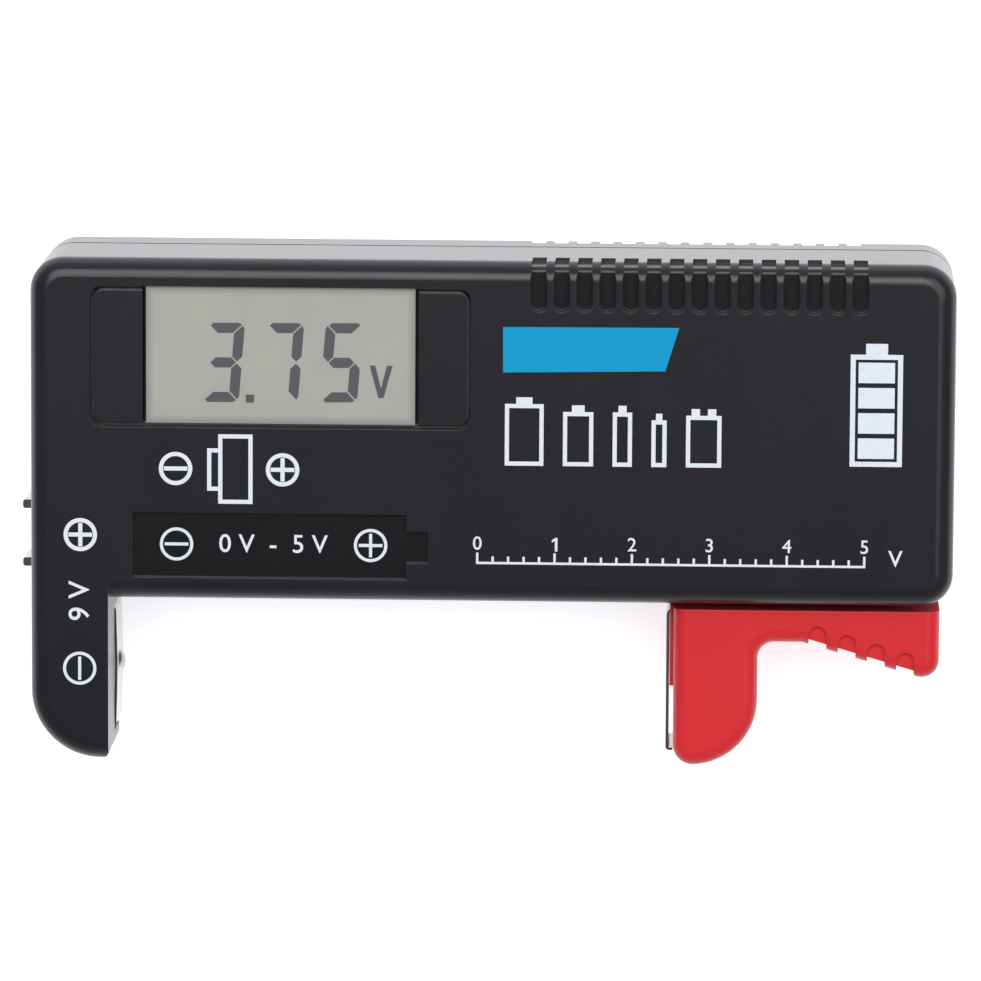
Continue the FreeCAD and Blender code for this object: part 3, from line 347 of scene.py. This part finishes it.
def case_plastic(name, worn_and_highlight, grain, depth, roughness):
    """Moulded black plastic: fine spark texture, faint flow marks, sharp edges lightened as wear and painted
    highlight, painted shade on the sunk floors and painted light in the display gap.
    """
    surface = Surface(name, roughness, specular=CASE_SPECULAR)
    fine = surface.noise(grain, 2.0)
    flow = surface.spread(surface.noise(FLOW_SIZE, 2.0, FLOW_STRETCH), 0.0, 1.0)
    body = surface.mix(flow, shade(CASE_COLOUR, 1 - CASE_MOTTLE), CASE_COLOUR)
    # Painted shade on the sunk floors and painted light in the display gap
    for low, high, tint in painted_light_and_shade_boxes():
        body = surface.mix(surface.inside(low, high), body, tint)
    normal = surface.rounded(EDGE_SOFTNESS)
    # Sharp edges lightened: partly wear, partly a painted highlight
    patches = surface.spread(surface.noise(RUB_SIZE), 0.1, 0.7)
    rubbed_and_highlit = surface.math("MULTIPLY", surface.edges(normal), patches)
    surface.colour(surface.mix(rubbed_and_highlit, body, worn_and_highlight))
    surface.rough(surface.spread(fine, roughness * 0.9, roughness * 1.05))
    surface.bump(fine, depth, normal)
    return surface.material


def arm_plastic():
    """Smooth red moulding; sharp edges are lightened pink as wear and painted highlight, and the face that
    slides along the case is matt from rubbing.
    """
    surface = Surface("red_arm_plastic", 0.3, specular=0.4)
    flow = surface.noise(FLOW_SIZE, 1.0, FLOW_STRETCH)
    normal = surface.rounded(ARM_EDGE_SOFTNESS)
    patches = surface.spread(surface.noise(RUB_SIZE), 0.1, 0.6)
    rubbed_and_highlit = surface.math("MULTIPLY", surface.edges(normal), patches)
    # Sharp edges lightened pink: partly wear, partly a painted highlight
    surface.colour(surface.mix(rubbed_and_highlit, srgb(228, 48, 54), srgb(234, 92, 96)))
    sliding = surface.axes(surface.add("ShaderNodeNewGeometry").outputs["Normal"])["Y"]
    matt = surface.spread(sliding, 0.0, 0.5, 0.8, 0.95)
    surface.rough(surface.math("ADD", matt, surface.spread(flow, 0.28, 0.32, 0.0, 1.0)))
    surface.bump(surface.noise(0.3, 2.0), 0.001, normal)
    return surface.material


def drawn_metal(name, base, tarnish, sheared_and_shaded, roughness):
    """Rolled sheet: fine lines along the strip, a little tarnish, and faces turned to the front darkened,
    partly as dull cut sheet and partly as painted shade.
    """
    surface = Surface(name, roughness, metallic=1.0)
    lines = surface.noise(0.35, 3.0, (1, 0.05, 1))
    spots = surface.noise(2.4, 4.0)
    faces = surface.mix(surface.spread(spots, 0.0, 0.55, 0.45, 0.8), base, tarnish)
    # Faces turned to the front are darkened: partly dull cut sheet, partly painted shade
    facing = surface.axes(surface.add("ShaderNodeNewGeometry").outputs["Normal"])["Z"]
    edge_and_shade = surface.spread(surface.math("MULTIPLY", facing, facing), 0.0, 1.0, 0.6, 0.8)
    surface.colour(surface.mix(edge_and_shade, faces, sheared_and_shaded))
    rolled = surface.spread(lines, roughness * 0.7, roughness * 1.5)
    surface.rough(surface.math("ADD", rolled, surface.math("MULTIPLY", edge_and_shade, 0.15)))
    surface.bump(lines, 0.004)
    return surface.material


def display_film():
    """The grey film over the liquid crystal: faint mottling, darker towards its rim."""
    surface = Surface("display_film", 0.34, specular=0.3)
    place = surface.axes(surface.place)
    nearest = None
    for axis, low, high in (("X", GLASS_LOW.x, GLASS_HIGH.x), ("Y", GLASS_LOW.y, GLASS_HIGH.y)):
        from_low = surface.math("SUBTRACT", place[axis], low)
        from_high = surface.math("SUBTRACT", high, place[axis])
        inward = surface.math("MINIMUM", from_low, from_high)
        nearest = inward if nearest is None else surface.math("MINIMUM", nearest, inward)
    rim = surface.spread(nearest, 0.0, 1.0, FILM_RIM[0] * MM, FILM_RIM[1] * MM)
    mottle = surface.spread(surface.noise(6.0, 2.0), 0.0, 1.0)
    open_field = surface.mix(mottle, srgb(175, 176, 170), srgb(179, 180, 171))
    surface.colour(surface.mix(rim, srgb(150, 151, 148), open_field))
    grain = surface.noise(0.12, 2.0)
    surface.rough(surface.spread(grain, 0.28, 0.4))
    surface.bump(grain, 0.001)
    return surface.material


def ink(name, base, thin):
    """Screen-printed ink: slightly uneven cover over the grain of the plastic."""
    surface = Surface(name, 0.5, specular=0.15)
    cover = surface.noise(0.35, 3.0)
    surface.colour(surface.mix(surface.spread(cover, 0.0, 1.0, 0.3, 0.45), thin, base))
    surface.rough(surface.spread(cover, 0.45, 0.6))
    surface.bump(cover, 0.003)
    return surface.material


def grained(name, base, other, size, roughness, depth, metallic=0.0):
    """A plain finish with two tones and a fine relief."""
    surface = Surface(name, roughness, metallic)
    tone = surface.noise(size, 4.0)
    surface.colour(surface.mix(surface.spread(tone, 0.0, 1.0), base, other))
    surface.rough(surface.spread(tone, roughness * 0.8, roughness * 1.2))
    surface.bump(surface.noise(size * 0.3, 2.0), depth)
    return surface.material


def circuit_board():
    """Green lacquer over copper tracks that run both ways."""
    surface = Surface("circuit_board", 0.35)
    tracks = None
    for stretch in ((1, 0.02, 0.02), (0.02, 1, 0.02)):
        lane = surface.spread(surface.noise(3.0, 0.0, stretch), 0.0, 1.0, 0.52, 0.54)
        tracks = lane if tracks is None else surface.math("MAXIMUM", tracks, lane)
    surface.colour(surface.mix(tracks, srgb(18, 74, 44), srgb(34, 104, 58)))
    surface.rough(surface.spread(surface.noise(0.6), 0.28, 0.42))
    surface.bump(tracks, 0.035)
    return surface.material


def resistor_lacquer():
    """Sand-coloured lacquer with four plain colour bands round the body; bare wire at the ends."""
    surface = Surface("resistor_lacquer", 0.4)
    low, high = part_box("load_resistor")
    along = surface.spread(surface.axes(surface.place)["X"], 0.0, 1.0, low.x, high.x)
    bands = surface.add("ShaderNodeValToRGB")
    bands.color_ramp.interpolation = "CONSTANT"
    wire, body = srgb(190, 190, 186), srgb(205, 178, 132)
    brown, black, gold = srgb(120, 66, 34), srgb(30, 28, 28), srgb(176, 140, 60)
    stops = [(0.0, wire), (0.2, body)]
    for start, end, band in ((0.3, 0.36, brown), (0.44, 0.5, black), (0.58, 0.64, brown), (0.72, 0.77, gold)):
        stops += [(start, band), (end, body)]
    stops.append((0.8, wire))
    ramp = bands.color_ramp.elements
    while len(ramp) < len(stops):
        ramp.new(1.0)
    for element, (share, colour) in zip(ramp, stops):
        element.position = share
        element.color = colour
    surface.link(along, bands.inputs["Fac"])
    surface.colour(bands.outputs["Color"])
    surface.rough(surface.spread(surface.noise(0.5), 0.32, 0.48))
    return surface.material


def zebra_rubber():
    """Thin dark and pale layers in turn along the strip."""
    surface = Surface("zebra_rubber", 0.7)
    wave = surface.add("ShaderNodeTexWave", wave_type="BANDS", bands_direction="X")
    wave.inputs["Scale"].default_value = 700.0
    surface.link(surface.place, wave.inputs["Vector"])
    surface.colour(surface.mix(wave.outputs["Fac"], srgb(30, 30, 32), srgb(196, 168, 158)))
    surface.rough(surface.spread(surface.noise(0.3), 0.6, 0.8))
    return surface.material


def dress_nodes():
    """Gives every node of the part its finish."""
    # The second colour of each case plastic lightens sharp edges: wear and painted highlight
    black = case_plastic("black_case_plastic", srgb(80, 80, 86), grain=0.28, depth=0.007, roughness=0.25)
    bezel = case_plastic("bezel_case_plastic", srgb(74, 74, 80), grain=0.16, depth=0.006, roughness=0.26)
    # The third colour of each strip darkens the faces turned to the front: dull cut sheet and painted shade
    nickel = drawn_metal("nickel_strip", srgb(206, 203, 200), srgb(140, 132, 128), srgb(104, 102, 103), 0.2)
    brass = drawn_metal("brass_strip", srgb(206, 170, 98), srgb(140, 104, 60), srgb(130, 104, 62), 0.3)
    steel = grained("screw_steel", srgb(176, 176, 180), srgb(128, 128, 134), 0.8, 0.32, 0.004, 1.0)
    rear_glass = grained("rear_glass", srgb(150, 160, 152), srgb(162, 170, 160), 5.0, 0.12, 0.001)
    reflector = grained("reflector", srgb(186, 188, 184), srgb(200, 202, 198), 0.3, 0.4, 0.004, 0.8)
    red_sleeve = grained("red_sleeve", srgb(176, 30, 30), srgb(148, 22, 24), 1.2, 0.4, 0.01)
    black_sleeve = grained("black_sleeve", srgb(30, 30, 32), srgb(44, 44, 46), 1.2, 0.4, 0.01)
    finishes = {
        "front_shell": black,
        "rear_shell": black,
        "display_bezel": bezel,
        "sliding_arm": arm_plastic(),
        "lcd_front_glass": display_film(),
        "lcd_rear_glass": rear_glass,
        "lcd_reflector": reflector,
        "zebra_strips": zebra_rubber(),
        "main_board": circuit_board(),
        "voltmeter_chip": grained("chip_resin", srgb(20, 20, 22), srgb(34, 34, 38), 1.5, 0.22, 0.02),
        "boost_coil": grained("ferrite", srgb(58, 58, 60), srgb(76, 74, 74), 0.6, 0.6, 0.02),
        "load_resistor": resistor_lacquer(),
        "chip_components": grained("ceramic", srgb(168, 142, 104), srgb(150, 122, 88), 0.5, 0.5, 0.01),
        "negative_contact": nickel,
        "positive_contact": nickel,
        "slider_wiper": nickel,
        "nine_volt_positive_contact": nickel,
        "nine_volt_negative_contact": nickel,
        "contact_rail": brass,
        "case_screws": steel,
        "board_screws": steel,
        "positive_wire": red_sleeve,
        "nine_volt_positive_wire": red_sleeve,
        "negative_wire": black_sleeve,
        "nine_volt_negative_wire": black_sleeve,
    }
    for name, material in finishes.items():
        for holder in nodes[name].material_slots:
            holder.material = material


# Thin raised shapes
def rectangle_corners(left, low, right, high):
    return [(left, low), (right, low), (right, high), (left, high)]


def circle(centre, radius):
    turns = [2 * math.pi * i / RING_STEPS for i in range(RING_STEPS)]
    return [(centre[0] + radius * math.cos(turn), centre[1] + radius * math.sin(turn)) for turn in turns]


class Stencil:
    """Collects flat shapes at one level and turns them into one thin closed mesh."""

    def __init__(self, level, thickness=INK_THICKNESS):
        self.low = (level - INK_SUNK) * MM
        self.high = (level + thickness) * MM
        self.mesh = bmesh.new()

    def corners(self, points, height):
        return [self.mesh.verts.new((x * MM, y * MM, height)) for x, y in points]

    def walls(self, lower, upper):
        count = len(lower)
        for i in range(count):
            j = (i + 1) % count
            self.mesh.faces.new((lower[i], lower[j], upper[j], upper[i]))

    def shape(self, points):
        """A filled outline, its points counter-clockwise."""
        lower = self.corners(points, self.low)
        upper = self.corners(points, self.high)
        self.mesh.faces.new(upper)
        self.mesh.faces.new(lower[::-1])
        self.walls(lower, upper)

    def band(self, outer, inner):
        """The area between two outlines with as many points."""
        outer_low = self.corners(outer, self.low)
        outer_high = self.corners(outer, self.high)
        inner_low = self.corners(inner, self.low)
        inner_high = self.corners(inner, self.high)
        count = len(outer)
        for i in range(count):
            j = (i + 1) % count
            self.mesh.faces.new((outer_high[i], outer_high[j], inner_high[j], inner_high[i]))
            self.mesh.faces.new((outer_low[j], outer_low[i], inner_low[i], inner_low[j]))
        self.walls(outer_low, outer_high)
        self.walls(inner_low[::-1], inner_high[::-1])

    def rectangle(self, left, low, right, high):
        """A filled rectangle."""
        self.shape(rectangle_corners(left, low, right, high))

    def outline(self, left, low, right, high, line=INK_LINE):
        """A rectangle drawn as a line, inside its corners."""
        outer = rectangle_corners(left, low, right, high)
        inner = rectangle_corners(left + line, low + line, right - line, high - line)
        self.band(outer, inner)

    def ring(self, centre, line):
        """A circle drawn as a line."""
        self.band(circle(centre, RING_RADIUS), circle(centre, RING_RADIUS - line))

    def minus(self, centre, line=INK_LINE, upright=False):
        """A minus sign in a ring."""
        self.ring(centre, line)
        long, short = SIGN_LENGTH / 2, line / 2
        across, tall = (short, long) if upright else (long, short)
        self.rectangle(centre[0] - across, centre[1] - tall, centre[0] + across, centre[1] + tall)

    def plus(self, centre, line=INK_LINE):
        """A plus sign in a ring."""
        self.ring(centre, line)
        long, short = SIGN_LENGTH / 2, line / 2
        cross = [(-short, -long), (short, -long), (short, -short),
                 (long, -short), (long, short), (short, short),
                 (short, long), (-short, long), (-short, short),
                 (-long, short), (-long, -short), (-short, -short)]
        self.shape([(centre[0] + x, centre[1] + y) for x, y in cross])

    def words(self, body, centre, size, turn=0.0):
        """Plain figures, centred and turned by degrees, with the letters' height about 0.72 of size."""
        curve = bpy.data.curves.new("figures", "FONT")
        curve.body = body
        curve.size = size * MM
        curve.extrude = (self.high - self.low) / 2
        curve.offset = size * MM * TEXT_WEIGHT
        curve.align_x = "CENTER"
        curve.align_y = "CENTER"
        curve.resolution_u = TEXT_CURVE_STEPS
        holder = bpy.data.objects.new("figures", curve)
        bpy.context.scene.collection.objects.link(holder)
        bpy.context.view_layer.update()
        drawn = bpy.data.meshes.new_from_object(holder.evaluated_get(bpy.context.evaluated_depsgraph_get()))
        middle = Vector((centre[0] * MM, centre[1] * MM, (self.low + self.high) / 2))
        drawn.transform(Matrix.Translation(middle) @ Matrix.Rotation(math.radians(turn), 4, "Z"))
        self.mesh.from_mesh(drawn)
        bpy.data.objects.remove(holder)
        bpy.data.curves.remove(curve)
        bpy.data.meshes.remove(drawn)

    def figure_one(self, centre, size):
        """A one with a flag, because the font's own is a bare bar."""
        tall = size * 0.36
        stroke = size * 0.13
        flag = size * 0.16
        left = centre[0] - (stroke - flag) / 2
        flag_top = tall - flag * 0.8
        one = [(0, -tall), (stroke, -tall), (stroke, tall), (stroke * 0.2, tall),
               (-flag, flag_top), (-flag, flag_top - stroke), (0, tall - stroke * 1.2)]
        self.shape([(left + x, centre[1] + y) for x, y in one])

    def finish(self, name, material):
        """Makes the collected shapes one piece that rides on the housing."""
        bmesh.ops.remove_doubles(self.mesh, verts=self.mesh.verts, dist=1e-8)
        data = bpy.data.meshes.new(name)
        self.mesh.to_mesh(data)
        self.mesh.free()
        data.materials.append(material)
        piece = bpy.data.objects.new(name, data)
        bpy.context.scene.collection.objects.link(piece)
        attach(piece, "housing")


# Display reading
def slanted(x, y):
    """Leans a point of a digit to the right, on a base line that climbs a little."""
    return (x + DIGIT_SLANT * (y - DIGIT_BOTTOM), y + READING_TILT * (x - READING_LEFT))


def bar_outlines(left):
    """The seven bars of a digit, a to g, as outlines with pointed ends."""
    wide = SEGMENT_WIDTH
    gap = SEGMENT_GAP
    right = left + DIGIT_WIDTH
    low = DIGIT_BOTTOM
    high = DIGIT_BOTTOM + DIGIT_HEIGHT
    mid = (low + high) / 2
    tip = wide / 2
    left_cut = tip * SEGMENT_LEFT_CUT
    right_cut = tip * SEGMENT_RIGHT_CUT
    inner_left = left + wide + gap
    inner_right = right - wide - gap
    across_top = [(left + gap + left_cut, high - left_cut), (inner_left, high - wide),
                  (inner_right, high - wide), (right - gap - right_cut, high - right_cut),
                  (right - gap - tip, high), (left + gap + tip, high)]
    across_low = [(x, low + high - y) for x, y in across_top][::-1]
    across_mid = [(left + tip + gap, mid), (inner_left, mid - tip), (inner_right, mid - tip),
                  (right - tip - gap, mid), (inner_right, mid + tip), (inner_left, mid + tip)]
    right_high = [(right - tip, mid + gap), (right, mid + tip + gap), (right, high - tip - gap),
                  (right - right_cut, high - right_cut - gap), (right - wide, high - wide - gap),
                  (right - wide, mid + tip + gap)]
    right_low = [(x, low + high - y) for x, y in right_high][::-1]
    left_high = [(left + right - x, y) for x, y in right_high][::-1]
    left_low = [(left + right - x, y) for x, y in right_low][::-1]
    return {"a": across_top, "b": right_high, "c": right_low, "d": across_low,
            "e": left_low, "f": left_high, "g": across_mid}


def make_reading():
    """The figures and the unit that the display shows."""
    drawing = Stencil(GLASS_HIGH.z / MM, SEGMENT_THICKNESS)
    for index, figure in enumerate(READING):
        bars = bar_outlines(READING_LEFT + index * READING_PITCH)
        for key in LIT_BARS[figure]:
            drawing.shape([slanted(x, y) for x, y in bars[key]])
    across, up = POINT_CENTRE
    half = POINT_SIDE / 2
    drawing.rectangle(across - half, up - half, across + half, up + half)
    wide, tall = UNIT_SIZE[0] / 2, UNIT_SIZE[1] / 2
    stroke = UNIT_STROKE
    unit = [(-stroke * 0.45, -tall), (stroke * 0.45, -tall), (wide, tall), (wide - stroke, tall),
            (0, -tall + stroke * 1.6), (-wide + stroke, tall), (-wide, tall)]
    drawing.shape([(UNIT_CENTRE[0] + x, UNIT_CENTRE[1] + y) for x, y in unit])
    dark = ink("display_segments", srgb(94, 93, 99), srgb(99, 98, 103))
    drawing.finish("display_reading", dark)


# Printed marks
def draw_cell(stencil, left, bottom, width, height, nubs):
    """An upright cell outline; nubs are (centre, width) pairs along its top."""
    top = bottom + height
    stencil.outline(left, bottom, left + width, top)
    for centre, nub in nubs:
        stencil.rectangle(centre - nub / 2, top, centre + nub / 2, top + CELL_NUB_HEIGHT)


def make_cell_row(white):
    """Plain outlines of the common cells, largest first, and a block with two studs."""
    stencil = Stencil(FACE_LEVEL)
    left = CELL_ROW_LEFT
    for width, height in CELL_ROW_SIZES:
        nub = (left + width / 2, width * CELL_NUB_SHARE)
        draw_cell(stencil, left, CELL_ROW_BOTTOM, width, height, [nub])
        left += width + CELL_ROW_GAP
    width, height = BLOCK_SIZE
    studs = [(left + width * share, BLOCK_NUB_WIDTH) for share in BLOCK_NUB_PLACES]
    draw_cell(stencil, left, CELL_ROW_BOTTOM, width, height, studs)
    stencil.finish("printed_cell_row", white)


def make_volt_scale(white):
    """A plain scale in volts with numbers."""
    stencil = Stencil(FACE_LEVEL)
    step = SCALE_LENGTH / SCALE_VOLTS / SCALE_PARTS
    half = SCALE_LINE / 2
    right = SCALE_LEFT + SCALE_LENGTH
    stencil.rectangle(SCALE_LEFT - half, SCALE_BASE - SCALE_LINE, right + half, SCALE_BASE)
    for i in range(SCALE_VOLTS * SCALE_PARTS + 1):
        x = SCALE_LEFT + i * step
        major = i % SCALE_PARTS == 0
        tall = SCALE_TICK if major else SCALE_SMALL_TICK
        stencil.rectangle(x - half, SCALE_BASE, x + half, SCALE_BASE + tall)
        middle = (x, SCALE_BASE + SCALE_TEXT_RISE)
        if i == SCALE_PARTS:
            stencil.figure_one(middle, SCALE_TEXT_SIZE)
        elif major:
            stencil.words(str(i // SCALE_PARTS), middle, SCALE_TEXT_SIZE)
    unit = (right + step * SCALE_UNIT_STEPS, SCALE_BASE + SCALE_UNIT_RISE)
    stencil.words("V", unit, SCALE_UNIT_SIZE)
    stencil.finish("printed_volt_scale", white)


def make_gauge(white):
    """A plain battery outline with level bars."""
    stencil = Stencil(FACE_LEVEL)
    wide, tall = GAUGE_SIZE
    left = GAUGE_CENTRE[0] - wide / 2
    bottom = GAUGE_CENTRE[1] - tall / 2
    stencil.outline(left, bottom, left + wide, bottom + tall, GAUGE_LINE)
    nub = GAUGE_NUB[0] / 2
    top = bottom + tall
    stencil.rectangle(GAUGE_CENTRE[0] - nub, top, GAUGE_CENTRE[0] + nub, top + GAUGE_NUB[1])
    pitch = (tall - 2 * GAUGE_MARGIN + GAUGE_BAR_GAP) / GAUGE_BARS
    for i in range(GAUGE_BARS):
        y = bottom + GAUGE_MARGIN + i * pitch
        stencil.rectangle(left + GAUGE_MARGIN, y, left + wide - GAUGE_MARGIN, y + pitch - GAUGE_BAR_GAP)
    stencil.finish("printed_level_gauge", white)


def make_terminal_marks(white):
    """The polarity signs and plain voltages beside the places where cells go."""
    button = Stencil(FACE_LEVEL)
    button.minus(FRONT_MINUS)
    button.plus(FRONT_PLUS)
    button.outline(*CELL_BODY)
    left, right, low, high = CELL_CAP_LEFT, CELL_BODY[0], CELL_CAP_LOW, CELL_CAP_HIGH
    inner = left + INK_LINE
    button.shape([(right, low), (right, low + INK_LINE), (inner, low + INK_LINE), (inner, high - INK_LINE),
                  (right, high - INK_LINE), (right, high), (left, high), (left, low)])
    button.finish("printed_button_cell_marks", white)

    sunk = Stencil(SYMBOL_FLOOR_LEVEL)
    sunk.minus(SYMBOL_MINUS, FINE_LINE)
    sunk.plus(SYMBOL_PLUS, FINE_LINE)
    sunk.words("0 V  -  5 V", SYMBOL_TEXT, SYMBOL_TEXT_SIZE)
    sunk.finish("printed_cell_marks", white)

    leg = Stencil(FACE_LEVEL)
    leg.plus(LEG_PLUS)
    leg.minus(LEG_MINUS, FINE_LINE, upright=True)
    leg.words("9 V", LEG_TEXT, LEG_TEXT_SIZE, turn=90.0)
    leg.finish("printed_nine_volt_marks", white)


def make_marks():
    """Everything printed on the front face."""
    white = ink("white_ink", srgb(236, 242, 250), srgb(226, 233, 243))
    make_terminal_marks(white)
    make_cell_row(white)
    make_volt_scale(white)
    make_gauge(white)
    stripe = Stencil(FACE_LEVEL)
    stripe.shape(STRIPE)
    stripe.finish("printed_stripe", ink("blue_ink", srgb(8, 161, 213), srgb(8, 154, 206)))


# Floor, light and camera; places and sides in metres, power in watts
FLOOR_SIDE = 12.0
FLOOR_COLOUR = (0.9, 0.9, 0.92, 1)
FLOOR_GLOW = (0.97, 0.96, 1, 1)
FLOOR_LIFT = 0.72
SKY_COLOUR = (0.96, 0.97, 1.0, 1)
SKY_ENDS = 0.3
SKY_LONG_SIDES = 1.05
SKY_ZENITH_SHARE = 0.1
KEY_PLACE = (-0.15, 0.4, 1.0)
KEY_SIDE = 0.7
KEY_POWER = 6.25
FILL_PLACE = (0.42, 0.28, 1.0)
FILL_SIDE = 0.8
FILL_POWER = 4.3
CAMERA_NEAREST = 0.01
CAMERA_FARTHEST = 50.0


def make_world():
    """A light tent: bright beyond the part's long sides, plainer beyond its ends, and dim overhead."""
    world = bpy.data.worlds.new("studio")
    bpy.context.scene.world = world
    world.use_nodes = True
    sky = Nodes(world.node_tree)
    direction = sky.axes(sky.add("ShaderNodeTexCoord").outputs["Generated"])
    sideways = sky.math("MULTIPLY", direction["Y"], direction["Y"])
    round_about = sky.spread(sideways, SKY_ENDS, SKY_LONG_SIDES, 0.0, 1.0)
    upwards = sky.spread(direction["Z"], 1.0, SKY_ZENITH_SHARE, 0.0, 1.0)
    background = sky.tree.nodes["Background"]
    background.inputs["Color"].default_value = SKY_COLOUR
    sky.link(sky.math("MULTIPLY", round_about, upwards), background.inputs["Strength"])


def make_floor():
    """A pale floor that keeps the shadow and is lifted to white for the camera, mirrors and glass."""
    half = FLOOR_SIDE / 2
    corners = [(x, y, 0) for x, y in rectangle_corners(-half, -half, half, half)]
    data = bpy.data.meshes.new("floor")
    data.from_pydata(corners, [], [(0, 1, 2, 3)])
    surface = Surface("pale_floor", 0.9, specular=0.0)
    surface.shader.inputs["Base Color"].default_value = FLOOR_COLOUR
    surface.shader.inputs["Emission Color"].default_value = FLOOR_GLOW
    ray = surface.add("ShaderNodeLightPath").outputs
    mirrored = surface.math("MAXIMUM", ray["Is Glossy Ray"], ray["Is Transmission Ray"])
    shown = surface.math("MAXIMUM", ray["Is Camera Ray"], mirrored)
    surface.link(surface.math("MULTIPLY", shown, FLOOR_LIFT), surface.shader.inputs["Emission Strength"])
    data.materials.append(surface.material)
    floor = bpy.data.objects.new("floor", data)
    bpy.context.scene.collection.objects.link(floor)


def make_light(name, place, side, power):
    """A soft square panel that faces the part."""
    data = bpy.data.lights.new(name, "AREA")
    data.shape = "SQUARE"
    data.size = side
    data.energy = power
    light = bpy.data.objects.new(name, data)
    light.location = place
    light.rotation_euler = (-light.location).to_track_quat("-Z", "Y").to_euler()
    light.visible_camera = False
    bpy.context.scene.collection.objects.link(light)


def make_camera():
    """A long lens at the photograph's viewing angle."""
    yaw = math.radians(CAMERA_YAW)
    pitch = math.radians(CAMERA_PITCH)
    back = Vector((math.sin(yaw) * math.cos(pitch), math.sin(pitch), math.cos(yaw) * math.cos(pitch)))
    right = Vector((math.cos(yaw), 0.0, -math.sin(yaw)))
    right.rotate(Matrix.Rotation(math.radians(CAMERA_ROLL), 3, back))
    up = back.cross(right)
    data = bpy.data.cameras.new("camera")
    data.sensor_fit = "HORIZONTAL"
    data.angle = math.radians(CAMERA_VIEW_ANGLE)
    data.clip_start = CAMERA_NEAREST
    data.clip_end = CAMERA_FARTHEST
    camera = bpy.data.objects.new("camera", data)
    place = (Vector(CAMERA_TARGET) + back * CAMERA_DISTANCE) * MM
    camera.matrix_world = Matrix.Translation(place) @ Matrix((right, up, back)).transposed().to_4x4()
    bpy.context.scene.collection.objects.link(camera)
    bpy.context.scene.camera = camera


dress_nodes()
make_reading()
make_marks()
make_world()
make_floor()
make_light("key_panel", KEY_PLACE, KEY_SIDE, KEY_POWER)
make_light("fill_panel", FILL_PLACE, FILL_SIDE, FILL_POWER)
make_camera()
bpy.context.scene.view_settings.view_transform = "Standard"
